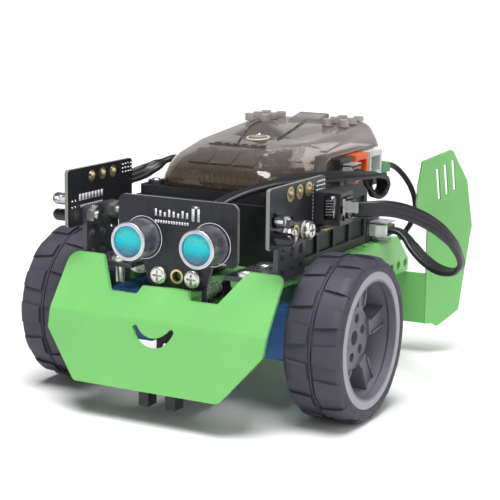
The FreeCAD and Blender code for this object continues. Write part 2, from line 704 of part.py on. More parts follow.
def make_side_board():
    """Right side sensor board."""
    body = new_body("right_side_board")
    face = new_sketch(body, "YZ", "side_x")
    add_box(face, "side_front", "side_low", "side_rear", "side_high")
    pad(body, face, "board")
    round_edges(body, "1.6", lambda edge: runs_along(edge, X_AXIS))
    holes = new_sketch(body, "YZ", "side_x + board + 1")
    for k in range(3):
        add_circle(holes, f"-20.5 + {k} * pitch", "94", "2.62")
    add_circle(holes, "-15.5", "78", "2.62")
    for y in ("-23.5", "-7.5"):
        add_circle(holes, y, "78", "hole")
    pocket(body, holes, "board + 2")
    return place(body)


def plated_rings():
    """Thin metal eyelets in the boards' round holes."""
    collar = 0.1

    def eyelet(centre, axis):
        start = Vector(*centre) - axis * collar
        tube = Part.makeCylinder(2.58, cell("board") + collar, start, axis)
        ring = Part.makeCylinder(3.0, collar, start, axis)
        return tube.fuse(ring).removeSplitter().cut(Part.makeCylinder(2.1, 4, start - axis, axis))
    rings = [eyelet((0, cell("sonic_y"), cell("board_screw_z")), Y_AXIS)]
    for y, z in ((-20.5, 94), (-12.5, 94), (-4.5, 94), (-15.5, 78)):
        rings += both_sides(eyelet((cell("side_x") + cell("board"), y, z), X_AXIS * -1))
    return Part.makeCompound(rings)


def lamps(z):
    """Five-millimetre lamps on both side boards, pointing outwards."""
    outer = cell("side_x") + cell("board")
    flange = rod(2.9, 1.0, (outer, -33.5, z), X_AXIS)
    barrel = rod(2.5, 5.2, (outer + 1, -33.5, z), X_AXIS)
    dome = Part.makeSphere(2.5, Vector(outer + 6.2, -33.5, z))
    return Part.makeCompound(both_sides(flange.fuse([barrel, dome]).removeSplitter()))


def make_line_sensor():
    """Line sensor under the nose: its bracket, board and two optical heads."""
    body = new_body("line_bracket")
    upright = new_sketch(body, "XY", "line_z + 4.6")
    add_box(upright, "-bracket_leg / 2", "-23.9", "bracket_leg / 2", "-21.9")
    pad(body, upright, "46 - line_z - 4.6")
    foot = new_sketch(body, "XY", "line_z + 4.6")
    add_box(foot, "-bracket_leg / 2", "-44", "bracket_leg / 2", "-21.9")
    pad(body, foot, "sheet")
    face = new_sketch(body, "XZ", "30")
    for column in (-1, 0, 1):
        for row in range(3):
            add_circle(face, f"{column} * pitch", f"front_screw_z - {row} * pitch", "hole")
    pocket(body, face, "10")
    top = new_sketch(body, "XY", "40")
    for column in (-1, 0, 1):
        for y in ("-40", "-32"):
            add_circle(top, f"{column} * pitch", y, "hole")
    pocket(body, top, "24")
    place(body)
    board = new_body("line_board")
    face = new_sketch(board, "XY", "line_z")
    add_box(face, "-13", "-46", "13", "-8.5")
    for sign in ("", "-"):
        add_circle(face, sign + "pitch", "-32", "hole")
    pad(board, face, "board")
    round_edges(board, "2", lambda edge: runs_along(edge, Z_AXIS)
                and edge.Curve.TypeId == "Part::GeomLine" and abs(edge.CenterOfMass.x) > 12)
    place(board)
    heads = []
    for x in (-6.3, 6.3):
        head = block((x - 2.3, -43, 5.4), (x + 2.3, -36.6, cell("line_z")))
        head = head.cut(block((x - 1.5, -42.2, 5), (x + 1.5, -40.4, 6.4)))
        heads.append(head.cut(block((x - 1.5, -39.4, 5), (x + 1.5, -37.4, 6.4))))
    shape_part("line_heads", Part.makeCompound(heads))


# ---------------------------------------------------------------- screws, nuts and spacers

def make_fasteners():
    """All machine screws, hexagon nuts and spacers."""
    outer = cell("side_x") + cell("board") + 1
    inner = cell("side_x") - cell("sheet")
    screws, nuts, spacers = [], [], []
    for x in (-8, 8):
        screws.append(screw((x, cell("sonic_y"), cell("board_screw_z")), Y_AXIS, 4))
        screws.append(screw((x, -27.5, cell("front_screw_z")), Y_AXIS, 9.5))
        nuts.append(nut((x, -21.9, cell("front_screw_z")), Y_AXIS))
        screws.append(screw((x, -8, 60), Z_AXIS * -1, 8))
        nuts.append(nut((x, -8, 56), Z_AXIS * -1))
        screws.append(screw((x, 104, 58), Z_AXIS * -1, 8))
        nuts.append(nut((x, 104, 54.3), Z_AXIS * -1))
        screws.append(screw((x, -32, 19.6), Z_AXIS * -1, 8.6))
        nuts.append(nut((x, -32, 13), Z_AXIS * -1))
        spacers.append(rod(3.2, 2.9, (x, -32, 14.65), Z_AXIS).cut(rod(2.1, 4, (x, -32, 14), Z_AXIS)))
    for y in (-23.5, -7.5):
        screws += both_sides(screw((outer, y, 78), X_AXIS * -1, 8.6))
        nuts += both_sides(nut((inner, y, 78), X_AXIS * -1))
        spacers += both_sides(rod(3.6, 1, (outer - 1, y, 78), X_AXIS).cut(rod(2.1, 3, (outer - 2, y, 78), X_AXIS)))
    screws += both_sides(screw((30, -7.5, 60), Z_AXIS * -1, 8))
    nuts += both_sides(nut((30, -7.5, 56), Z_AXIS * -1))
    screws += both_sides(screw((30, -23.5, 60), Z_AXIS * -1, 9))
    screws += both_sides(screw((15, cell("ball_y"), 16.5), Z_AXIS * -1, 9))
    shape_part("machine_screws", Part.makeCompound(screws))
    shape_part("hex_nuts", Part.makeCompound(nuts))
    shape_part("board_spacers", Part.makeCompound(spacers))


# ---------------------------------------------------------------- wheels, gears and motors

MODULE = 0.5
ADDENDUM, DEDENDUM = 0.38, 0.55
GEAR_SPACING = 22.5 * MODULE + 0.1
JOURNAL_RADIUS = 1.6


def gear(teeth, centre, axis, start, width):
    """A spur gear with narrow tapered teeth; the first tooth points along +Y, or along +X on a gear about Y."""
    pitch_radius = MODULE * teeth / 2
    zero = Y_AXIS if abs(axis.x) > 0.5 else X_AXIS
    quarter = axis.cross(zero)
    points = []
    for k in range(teeth):
        middle = math.tau * k / teeth
        for radius, half in ((pitch_radius - DEDENDUM, 0.42), (pitch_radius, 0.29), (pitch_radius + ADDENDUM, 0.15)):
            points.append((radius, middle - half / radius))
        for radius, half in ((pitch_radius + ADDENDUM, 0.15), (pitch_radius, 0.29), (pitch_radius - DEDENDUM, 0.42)):
            points.append((radius, middle + half / radius))
    base = Vector(*centre) + axis * start
    ring = [base + zero * (r * math.cos(a)) + quarter * (r * math.sin(a)) for r, a in points]
    return Part.Face(Part.makePolygon(ring + ring[:1])).extrude(axis * width)


def crown_gear(centre_y, axle_z):
    """Crown wheel with teeth on its outer side, and the small gear on the same hub."""
    disc = rod(7.1, 1.8, (25.2, centre_y, axle_z), X_AXIS)
    teeth = []
    for k in range(27):
        tooth = Part.makeBox(2.4, 1.2, 0.56, Vector(26.6, 5.9, -0.28))
        tooth.rotate(Vector(0, 0, 0), X_AXIS, 360 * k / 27)
        tooth.translate(Vector(0, centre_y, axle_z))
        teeth.append(tooth)
    hub = rod(1.6, 5, (26.5, centre_y, axle_z), X_AXIS)
    small = gear(9, (0, centre_y, axle_z), X_AXIS, 29.6, 4.8)
    whole = disc.fuse(teeth + [hub, small])
    return whole.cut(rod(1.06, 20, (20, centre_y, axle_z), X_AXIS))


def make_drive():
    """Right gearbox and motor, and their mirror images."""
    axle_z = cell("axle_z")
    inner_x, outer_x = cell("gearbox_inner_x"), cell("gearbox_outer_x")
    second_y, third_y = GEAR_SPACING, 2 * GEAR_SPACING
    low, high = axle_z - 11.25, axle_z + 11.25
    case = block((inner_x, -11.3, low), (outer_x - 1.2, 33, high))
    case = case.makeFillet(2, [edge for edge in case.Edges if runs_along(edge, X_AXIS) and edge.CenterOfMass.y < 0])
    case = case.cut(block((inner_x + 1.2, -10.1, low + 1.2), (outer_x, 31.8, high - 1.2)))
    cover = block((outer_x - 1.2, -11.3, low), (outer_x, 33, high))
    cover = cover.makeFillet(2, [edge for edge in cover.Edges if runs_along(edge, X_AXIS) and edge.CenterOfMass.y < 0])
    journal_end = 34.5
    shaft_hole = rod(cell("shaft_radius") + 0.05, 30, (journal_end, 0, axle_z), X_AXIS)
    journal_hole = rod(JOURNAL_RADIUS + 0.05, 10, (20, 0, axle_z), X_AXIS)
    screw_holes = [rod(1.6, 30, (20, 20.5, axle_z + dz), X_AXIS) for dz in (-8.4, 8.4)]
    pin_holes = [rod(1.0, 30, (20, y, axle_z), X_AXIS) for y in (second_y, third_y)]
    motor_hole = rod(3.2, 6, (cell("motor_x"), 30, axle_z), Y_AXIS)
    case = case.cut([journal_hole, motor_hole] + screw_holes + pin_holes)
    cover = cover.cut([shaft_hole] + screw_holes + pin_holes)
    shaft = rod(cell("shaft_radius"), inner_x + 39 - journal_end, (journal_end, 0, axle_z), X_AXIS)
    shaft = shaft.fuse(rod(JOURNAL_RADIUS, journal_end - inner_x, (inner_x, 0, axle_z), X_AXIS))
    flats = [block((outer_x + 2, -5, axle_z + s), (outer_x + 22, 5, axle_z + s + 2)) for s in (1.85, -3.85)]
    output = gear(36, (0, 0, axle_z), X_AXIS, 35, 4).fuse(shaft.cut(flats))
    second = gear(36, (0, second_y, axle_z), X_AXIS, 30, 4).fuse(gear(9, (0, second_y, axle_z), X_AXIS, 34, 5.6))
    second = second.cut(rod(1.06, 20, (25, second_y, axle_z), X_AXIS))
    rotor = gear(9, (cell("motor_x"), 0, axle_z), Y_AXIS, third_y + 5.4, 3.2)
    rotor = rotor.fuse([rod(1.0, 28, (cell("motor_x"), third_y + 5.4, axle_z), Y_AXIS),
                        rod(6.2, 15, (cell("motor_x"), 37, axle_z), Y_AXIS)])
    can = rod(10, 25, (cell("motor_x"), 33, axle_z), Y_AXIS).common(
        block((cell("motor_x") - 7.6, 33, 0), (cell("motor_x") + 7.6, 58, 80)))
    hollow = rod(9.2, 22.4, (cell("motor_x"), 34, axle_z), Y_AXIS).common(
        block((cell("motor_x") - 6.8, 34, 0), (cell("motor_x") + 6.8, 56.4, 80)))
    can = can.cut([hollow, rod(1.05, 10, (cell("motor_x"), 30, axle_z), Y_AXIS)])
    pins = [rod(1.0, outer_x - inner_x, (inner_x, y, axle_z), X_AXIS) for y in (second_y, third_y)]
    bolts = [rod(1.5, 24, (20.6, 20.5, axle_z + dz), X_AXIS).fuse(rod(2.8, 2, (44, 20.5, axle_z + dz), X_AXIS))
             for dz in (-8.4, 8.4)]
    for name, shape in (("right_gearbox_case", case), ("right_gearbox_cover", cover),
                        ("right_output_gear", output), ("right_second_gear", second),
                        ("right_crown_gear", crown_gear(third_y, axle_z)), ("right_motor_rotor", rotor)):
        right = shape_part(name, shape.removeSplitter())
        mirror_part(name.replace("right", "left"), right)
    shape_part("motor_cans", Part.makeCompound(both_sides(can)))
    shape_part("gear_pins", Part.makeCompound([copy for pin in pins for copy in both_sides(pin)]))
    shape_part("motor_bolts", Part.makeCompound([copy for bolt in bolts for copy in both_sides(bolt)]))


def make_tyre():
    """Rubber tyre with a ribbed crown and slanted tread grooves."""
    body = new_body("right_tyre")
    flat = new_sketch(body, "XY", "0")
    add_polygon(flat, [("tyre_inner_x", "rim_radius"), ("tyre_inner_x", "axle_z - 3"),
                       ("tyre_inner_x + 2.2", "axle_z - 0.5"), ("tyre_inner_x + 5", "axle_z"),
                       ("62.2", "axle_z"), ("62.6", "axle_z - 1"), ("63.8", "axle_z - 1"), ("64.2", "axle_z"),
                       ("tyre_outer_x - 5", "axle_z"), ("tyre_outer_x - 2.2", "axle_z - 0.5"),
                       ("tyre_outer_x", "axle_z - 3"), ("tyre_outer_x", "rim_radius")])
    turn = body.newObject("PartDesign::Revolution", "tyre_turn")
    turn.Profile = flat
    turn.ReferenceAxis = (flat, ["H_Axis"])
    turn.Angle = 360
    grooves = new_sketch(body, "XY", "axle_z - 1")
    for shoulder, middle in (("49", "62"), ("77", "64.4")):
        add_polygon(grooves, [(shoulder, "1.8"), (middle, "-0.6"), (middle, "0.6"), (shoulder, "3")])
    doc.recompute()
    cut = body.newObject("PartDesign::Pocket", "tyre_groove")
    cut.Profile = grooves
    cut.Length = 4
    cut.Reversed = True
    doc.recompute()
    pattern = body.newObject("PartDesign::PolarPattern", "tyre_pattern")
    pattern.Originals = [cut]
    pattern.Axis = (flat, ["H_Axis"])
    pattern.Angle = 360
    pattern.Occurrences = 20
    body.Tip = pattern
    doc.recompute()
    body.setExpression("Placement.Base.z", bound("axle_z"))
    return place(body)


def make_hub():
    """Five-spoke wheel hub with a ring of six holes."""
    body = new_body("right_hub")
    flat = new_sketch(body, "XY", "0")
    add_polygon(flat, [("52", "24.4"), ("52", "rim_radius"), ("75.2", "rim_radius"), ("75.2", "24"), ("72", "24"),
                       ("71", "24.8"), ("58", "24.8"), ("57", "24.4")])
    turn = body.newObject("PartDesign::Revolution", "hub_barrel")
    turn.Profile = flat
    turn.ReferenceAxis = (flat, ["H_Axis"])
    turn.Angle = 360
    centre = new_sketch(body, "XY", "0")
    add_polygon(centre, [("51.2", "2.7"), ("51.2", "5.6"), ("61", "5.6"), ("63.4", "12.8"), ("67.2", "12.8"),
                         ("67.2", "3"), ("62.2", "3"), ("62.2", "2.7")])
    middle = body.newObject("PartDesign::Revolution", "hub_middle")
    middle.Profile = centre
    middle.ReferenceAxis = (centre, ["H_Axis"])
    middle.Angle = 360
    spoke = new_sketch(body, "YZ", "62.6")
    spoke.setExpression("AttachmentOffset.Rotation.Angle", bound("hub_turn"))
    add_polygon(spoke, [("-3.3", "11.5"), ("3.3", "11.5"), ("4.4", "25.4"), ("-4.4", "25.4")])
    arm = pad(body, spoke, "6")
    doc.recompute()
    pattern = body.newObject("PartDesign::PolarPattern", "hub_spokes")
    pattern.Originals = [arm]
    pattern.Axis = (flat, ["H_Axis"])
    pattern.Angle = 360
    pattern.Occurrences = 5
    body.Tip = pattern
    doc.recompute()
    holes = new_sketch(body, "YZ", "80")
    for k in range(6):
        angle = math.tau * k / 6 + math.radians(15)
        add_circle(holes, f"{8 * math.cos(angle):.4f}", f"{8 * math.sin(angle):.4f}", "2")
    pocket(body, holes, "25")
    body.setExpression("Placement.Base.z", bound("axle_z"))
    return place(body)


def make_caster():
    """Steel ball in a round housing under the rear foot."""
    radius, y = cell("ball_radius"), cell("ball_y")
    cup = rod(11, 10, (0, y, 5), Z_AXIS)
    ears = block((-19, y - 4, 12.5), (19, y + 4, 15))
    cup = cup.fuse(ears).cut(Part.makeSphere(radius + 0.3, Vector(0, y, radius)))
    cup = cup.cut([rod(2.1, 20, (x, y, 0), Z_AXIS) for x in (-15, 15)])
    shape_part("caster_housing", cup)
    ball = doc.addObject("Part::Sphere", "caster_ball")
    ball.setExpression("Radius", bound("ball_radius"))
    ball.setExpression("Placement.Base.y", bound("axle_y + ball_y"))
    ball.setExpression("Placement.Base.z", bound("ball_radius"))
    sub_parts.append(ball)


# ---------------------------------------------------------------- data cables and their plugs

PLUG_HALF_WIDTH, PLUG_HALF_THICKNESS, PLUG_IN_SOCKET = 4.7, 3.2, 6


def plug(mouth, out, wide, reach):
    """A clear data plug: its body in the socket's mouth, its collar reaching out to the cable."""
    mouth = Vector(*mouth)
    thin = out.cross(wide)
    collar = 2.5

    def bar(start, end, half_wide, half_thin):
        corners = [mouth + out * along + wide * (side * half_wide) + thin * (side * half_thin)
                   for along, side in ((start, -1), (end, 1))]
        low = [min(pair) for pair in zip(*corners)]
        high = [max(pair) for pair in zip(*corners)]
        return block(low, high)
    body = bar(-PLUG_IN_SOCKET, reach - collar, PLUG_HALF_WIDTH, PLUG_HALF_THICKNESS)
    return body.fuse(bar(reach - collar, reach, PLUG_HALF_WIDTH - 0.9, PLUG_HALF_THICKNESS - 0.8)).removeSplitter()


def cable(name, radius, route):
    """A free cable: straight runs through the route's points, with an arc at each point as large as they allow."""
    points = [Vector(*point) for point in route]
    path, start, radii = [], points[0], []
    for before, corner, after in zip(points, points[1:], points[2:]):
        into = (corner - before).normalize()
        out = (after - corner).normalize()
        turn = into.getAngle(out)
        reach = 0.45 * min(corner.distanceToPoint(before), corner.distanceToPoint(after))
        arc_radius = reach / math.tan(turn / 2)
        inward = (out - into).normalize() * (arc_radius / math.cos(turn / 2) - arc_radius)
        entry = corner - into * reach
        leave = corner + out * reach
        path += [Part.LineSegment(start, entry).toShape(), Part.Arc(entry, corner + inward, leave).toShape()]
        start = leave
        radii.append(arc_radius)
    path.append(Part.LineSegment(start, points[-1]).toShape())
    wire = Part.Wire(path)
    section = Part.Wire(Part.Circle(points[0], points[1] - points[0], radius).toShape())
    tube = wire.makePipeShell([section], True, True)
    share = tube.Volume / (math.pi * radius ** 2 * wire.Length)
    print(f"{name}: {wire.Length:.1f} mm long, radii " + " ".join(f"{size:.0f}" for size in radii)
          + f", volume {share:.3f} of section times length")
    if abs(share - 1) > 0.02:
        raise RuntimeError(f"{name} is not a whole tube")
    shape_part(name, tube)


def make_cables():
    """Four cables and the plugs that join them to the sockets."""
    flat, lead = cell("cable_radius"), cell("lead_radius")
    port = cell("base_half")
    side = cell("side_x") + cell("board") + SIDE_SOCKET_LENGTH
    side_y, side_z = cell("side_port_y"), cell("side_port_z")
    base_y, base_z = cell("base_port_y"), cell("base_port_z")
    port_z, black = cell("port_z"), PORTS["black"]
    plugs = both_sides(plug((port, black, port_z), X_AXIS, Y_AXIS, 5.2))
    plugs += both_sides(plug((side, side_y, side_z), X_AXIS, Z_AXIS, 3.2))
    plugs.append(plug((port, base_y, base_z), X_AXIS, Y_AXIS, 9))
    plugs.append(plug((13, -20.1, 79), Z_AXIS, X_AXIS, 3.2))
    plugs.append(plug((0, -9, 20.5), Y_AXIS, X_AXIS, 5))
    shape_part("data_plugs", Part.makeCompound(plugs))
    cable("cable_right", flat, [
        (side + 3.2, side_y, side_z), (side + 8, side_y, side_z), (73.4, 10.6, 86.6), (79, 17.4, 85),
        (84, 26, 81.2), (88.2, 35.2, 75.8), (91.2, 44.4, 68.8), (91.8, 53, 60.8), (88.8, 60.4, 54.2),
        (82.4, 66.4, 50.8), (74.8, 71, 50.4), (67, 75.2, 52.8), (60, 79.2, 56.8), (54.6, 82, 61.4),
        (50.6, base_y, base_z), (port + 9, base_y, base_z)])
    cable("cable_ultrasonic", flat, [
        (port + 5.2, black, port_z), (port + 8.4, black, port_z), (48.8, 51.6, 89.6), (49.8, 52.6, 85.2),
        (50.6, 56.2, 83), (51.4, 59.8, 84.6), (52, 61, 88.6), (52, 58.2, 91.8), (51.8, 51.6, 93.4), (51, 43, 94),
        (49.2, 33.6, 94.8), (46, 24, 95.6), (41.2, 15.2, 95.8), (35, 7, 95.2), (28.4, -0.8, 93.8), (21.8, -8.4, 91.4),
        (16.2, -15.6, 88.6), (13, -20.1, 85.6), (13, -20.1, 82.2)])
    cable("cable_rear", lead, [
        (34.3, 102.4, 90.2), (34.3, 106.8, 90.2), (36, 112, 88.2), (38.8, 116.4, 83.4), (41.4, 119.8, 77),
        (42.6, 122, 69.6), (41, 122.6, 61.6), (37, 120.4, 54.4), (32.4, 115, 49.6), (28.4, 107.2, 47.6),
        (25, 98, 47.4), (21.6, 88, 48.6), (18, 77.4, 49.6), (14.6, 66.4, 49.4), (11.8, 55, 48.2), (9.8, 44, 46),
        (8.6, 33.6, 42), (7, 24.6, 36), (4.8, 16.6, 29), (2, 9.4, 22.8), (0, 2, 20.5), (0, -4, 20.5)])
    cable("cable_left", flat, [
        (-side - 3.2, side_y, side_z), (-side - 7.4, side_y, side_z), (-71, 10.6, 85.4), (-73, 17.6, 84.8),
        (-71, 25.4, 84.2), (-65.8, 32.4, 84.4), (-60.4, 39, 86.2), (-56, 45.4, 89.4), (-51.8, 50.4, 92.6),
        (-port - 8.8, black, port_z), (-port - 5.2, black, port_z)])


# ---------------------------------------------------------------- checks and files

def check_and_write():
    doc.recompute()
    for item in doc.Objects:
        if "Invalid" in item.State or "Error" in item.State:
            raise RuntimeError(f"{item.Name}: {item.State}")
    os.makedirs("parts", exist_ok=True)
    for part in sub_parts:
        if part.Shape.isNull() or not part.Shape.isValid():
            raise RuntimeError(f"{part.Label} has no valid shape")
        part.Shape.exportStep(f"parts/{part.Label}.step")
        box = part.Shape.BoundBox
        print(f"{part.Label:22} {len(part.Shape.Solids)} solids  X {box.XMin:.1f}..{box.XMax:.1f}"
              f"  Y {box.YMin:.1f}..{box.YMax:.1f}  Z {box.ZMin:.1f}..{box.ZMax:.1f}")


make_chassis()
make_front_bracket()
mirror_part("left_bracket", make_side_bracket())
make_bumper()
make_rear_plate()
make_base()
shape_part("battery_cells", battery_cells())
make_tray()
make_hood()
make_main_board()
make_small_electronics()
make_controls()
make_sonic_board()
shape_part("transducer_cans", transducer_cans())
shape_part("transducer_meshes", transducer_meshes())
mirror_part("left_side_board", make_side_board())
shape_part("plated_rings", plated_rings())
shape_part("clear_lamps", lamps(85.4))
shape_part("black_lamps", lamps(78.6))
make_line_sensor()
make_fasteners()
make_drive()
mirror_part("left_tyre", make_tyre())
mirror_part("left_hub", make_hub())
make_caster()
make_cables()
check_and_write()
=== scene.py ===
import math

import bmesh
import bpy
from mathutils import Matrix, Vector


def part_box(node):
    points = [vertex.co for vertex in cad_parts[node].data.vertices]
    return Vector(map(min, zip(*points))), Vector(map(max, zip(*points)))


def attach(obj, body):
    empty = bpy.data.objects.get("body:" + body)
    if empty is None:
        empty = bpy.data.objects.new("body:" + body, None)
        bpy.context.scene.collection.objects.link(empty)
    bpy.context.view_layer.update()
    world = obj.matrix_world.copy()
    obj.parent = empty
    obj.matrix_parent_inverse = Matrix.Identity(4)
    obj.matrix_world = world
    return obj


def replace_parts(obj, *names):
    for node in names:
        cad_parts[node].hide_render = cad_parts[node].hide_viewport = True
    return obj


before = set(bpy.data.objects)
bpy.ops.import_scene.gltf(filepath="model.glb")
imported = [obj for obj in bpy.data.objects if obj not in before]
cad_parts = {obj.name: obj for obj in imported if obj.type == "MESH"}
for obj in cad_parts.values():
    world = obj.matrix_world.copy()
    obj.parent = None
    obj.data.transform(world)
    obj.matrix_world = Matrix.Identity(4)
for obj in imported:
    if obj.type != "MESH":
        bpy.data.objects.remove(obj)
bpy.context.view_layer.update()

# Two-wheel-drive educational robot car. Lengths below are millimetres: X from the robot's middle, Y
# back from the wheel axle, whose place comes from the frame, and Z from the floor.

MM = 0.001
ROOT = "robot_frame"
low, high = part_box("right_hub")
AXLE_Y = (low.y + high.y) / 2
AXLE_Z = (low.z + high.z) / 2 / MM


def at(x, y, z):
    """A point given in millimetres, in the frame's metres."""
    return Vector((x * MM, y * MM + AXLE_Y, z * MM))


# ---- camera ----

CAMERA_TURN = math.radians(28.29)
CAMERA_TILT = math.radians(11.11)
CAMERA_ROLL = math.radians(0.73)
CAMERA_DISTANCE = 635.4
CAMERA_TARGET = (18.78, 0, 65.38)
LENS = 110.2


def add_camera():
    back = Vector((math.sin(CAMERA_TURN) * math.cos(CAMERA_TILT),
                   -math.cos(CAMERA_TURN) * math.cos(CAMERA_TILT), math.sin(CAMERA_TILT)))
    right = Vector((math.cos(CAMERA_TURN), math.sin(CAMERA_TURN), 0))
    up = back.cross(right)
    across = right * math.cos(CAMERA_ROLL) + up * math.sin(CAMERA_ROLL)
    upward = up * math.cos(CAMERA_ROLL) - right * math.sin(CAMERA_ROLL)
    data = bpy.data.cameras.new("camera")
    data.lens = LENS
    data.sensor_width = 36
    data.clip_start = 0.05
    camera = bpy.data.objects.new("camera", data)
    bpy.context.scene.collection.objects.link(camera)
    turn = Matrix((across, upward, back)).transposed().to_4x4()
    camera.matrix_world = Matrix.Translation(at(*CAMERA_TARGET) + back * CAMERA_DISTANCE * MM) @ turn
    bpy.context.scene.camera = camera


add_camera()


# ---- materials ----

def nodes_of(material):
    return material.node_tree.nodes, material.node_tree.links


def new_material(name, colour, roughness=0.5, metallic=0.0, **settings):
    """A Principled material with its plain settings; the functions below add what varies over it."""
    material = bpy.data.materials.new(name)
    material.use_nodes = True
    shader = material.node_tree.nodes["Principled BSDF"]
    shader.inputs["Base Color"].default_value = (*colour, 1)
    shader.inputs["Roughness"].default_value = roughness
    shader.inputs["Metallic"].default_value = metallic
    for key, value in settings.items():
        shader.inputs[key.replace("_", " ")].default_value = value
    return material


def object_point(material, stretch=(1, 1, 1)):
    """The object's own coordinates, stretched."""
    nodes, links = nodes_of(material)
    place = nodes.new("ShaderNodeTexCoord")
    mapping = nodes.new("ShaderNodeMapping")
    mapping.inputs["Scale"].default_value = stretch
    links.new(place.outputs["Object"], mapping.inputs["Vector"])
    return mapping.outputs["Vector"]


def separated(material, kind):
    """The X, Y and Z sockets of one kind of texture coordinate."""
    nodes, links = nodes_of(material)
    place = nodes.new("ShaderNodeTexCoord")
    split = nodes.new("ShaderNodeSeparateXYZ")
    links.new(place.outputs[kind], split.inputs["Vector"])
    return split.outputs


def feed(material, value, socket):
    """Sets a socket to a number or a colour, or links another socket to it."""
    if isinstance(value, bpy.types.NodeSocket):
        material.node_tree.links.new(value, socket)
    elif isinstance(value, tuple):
        socket.default_value = (*value, 1)
    else:
        socket.default_value = value


def calculated(material, operation, *values):
    """A Math node's result."""
    node = material.node_tree.nodes.new("ShaderNodeMath")
    node.operation = operation
    for value, socket in zip(values, node.inputs):
        feed(material, value, socket)
    return node.outputs[0]


def blend(material, factor, first, second, mode="MIX"):
    """A colour mixed from two. The Mix node's colour sockets share their names, so they go by number."""
    mix = material.node_tree.nodes.new("ShaderNodeMix")
    mix.data_type = "RGBA"
    mix.blend_type = mode
    for value, socket in ((factor, "Factor"), (first, 6), (second, 7)):
        feed(material, value, mix.inputs[socket])
    return mix.outputs[2]


def share_between(material, value, start, end):
    """How far a value lies between two limits, from 0 to 1."""
    nodes, links = nodes_of(material)
    node = nodes.new("ShaderNodeMapRange")
    node.inputs["From Min"].default_value = start
    node.inputs["From Max"].default_value = end
    links.new(value, node.inputs["Value"])
    return node.outputs["Result"]


def noise(material, scale, detail=4.0, stretch=(1, 1, 1)):
    """A noise value over the object, with `scale` features to the metre."""
    nodes, links = nodes_of(material)
    texture = nodes.new("ShaderNodeTexNoise")
    texture.inputs["Scale"].default_value = scale
    texture.inputs["Detail"].default_value = detail
    links.new(object_point(material, stretch), texture.inputs["Vector"])
    return texture.outputs["Fac"]


def ramp(material, value, stops):
    """A colour ramp through (position, colour) stops."""
    nodes, links = nodes_of(material)
    node = nodes.new("ShaderNodeValToRGB")
    while len(node.color_ramp.elements) < len(stops):
        node.color_ramp.elements.new(0.5)
    for element, (position, colour) in zip(node.color_ramp.elements, stops):
        element.position = position
        element.color = (*colour, 1)
    links.new(value, node.inputs["Fac"])
    return node.outputs["Color"]


def shader_input(material, name):
    return material.node_tree.nodes["Principled BSDF"].inputs[name]


def shaded(colour, share):
    return tuple(channel * share for channel in colour)


DRIFT_START, DRIFT_END = 0.3, 0.7      # the noise values between which a colour changes into the next
ROUGHNESS_DETAIL = 6.0


def vary_colour(material, scale, first, second, stretch=(1, 1, 1)):
    """Base colour that drifts between two colours over the surface."""
    stops = [(DRIFT_START, first), (DRIFT_END, second)]
    colour = ramp(material, noise(material, scale, stretch=stretch), stops)
    material.node_tree.links.new(colour, shader_input(material, "Base Color"))


def vary_roughness(material, scale, low_value, high_value, stretch=(1, 1, 1)):
    nodes, links = nodes_of(material)
    node = nodes.new("ShaderNodeMapRange")
    node.inputs["To Min"].default_value = low_value
    node.inputs["To Max"].default_value = high_value
    links.new(noise(material, scale, ROUGHNESS_DETAIL, stretch), node.inputs["Value"])
    links.new(node.outputs["Result"], shader_input(material, "Roughness"))


def add_bump(material, value, strength, depth):
    """Bump from a value; depth in millimetres."""
    nodes, links = nodes_of(material)
    node = nodes.new("ShaderNodeBump")
    node.inputs["Strength"].default_value = strength
    node.inputs["Distance"].default_value = depth * MM
    links.new(value, node.inputs["Height"])
    links.new(node.outputs["Normal"], shader_input(material, "Normal"))


def mix_in(material, factor, second):
    """Blends the material's base colour into a second one, by the factor's socket."""
    colour = shader_input(material, "Base Color")
    feed(material, blend(material, factor, colour.links[0].from_socket, second), colour)


def moulded(name, colour, roughness, grain=0.03, shade=0.82, scale=90):
    """Injection-moulded plastic: a fine grain, a slight drift of shade and of gloss."""
    material = new_material(name, colour, roughness)
    vary_colour(material, scale, shaded(colour, shade), colour)
    vary_roughness(material, scale * 6, roughness * 0.85, min(1, roughness * 1.2))
    add_bump(material, noise(material, 2600, 2.0), strength=0.5, depth=grain)
    return material


def painted(name, colour, roughness=0.38):
    """Powder-coated sheet: orange-peel surface under a thin gloss, a little uneven."""
    material = new_material(name, colour, roughness, Coat_Weight=0.25, Coat_Roughness=0.25)
    vary_colour(material, 45, shaded(colour, 0.9), colour)
    vary_roughness(material, 300, roughness * 0.9, roughness * 1.2)
    add_bump(material, noise(material, 1500, 3.0), strength=0.35, depth=0.05)
    return material


def metal(name, colour, roughness=0.28, streaks=(1, 1, 1), grain=0.02):
    """Plated or brushed metal with fine marks along one direction."""
    material = new_material(name, colour, roughness, 1.0)
    vary_colour(material, 220, shaded(colour, 0.8), colour, streaks)
    vary_roughness(material, 500, roughness * 0.7, roughness * 1.5, streaks)
    add_bump(material, noise(material, 1400, 4.0, streaks), strength=0.3, depth=grain)
    return material


BOARD_EDGE = (0.20, 0.205, 0.19)
BOARD_FACE_LIMIT = 0.6                 # how squarely a surface faces along the board's axis to be its face


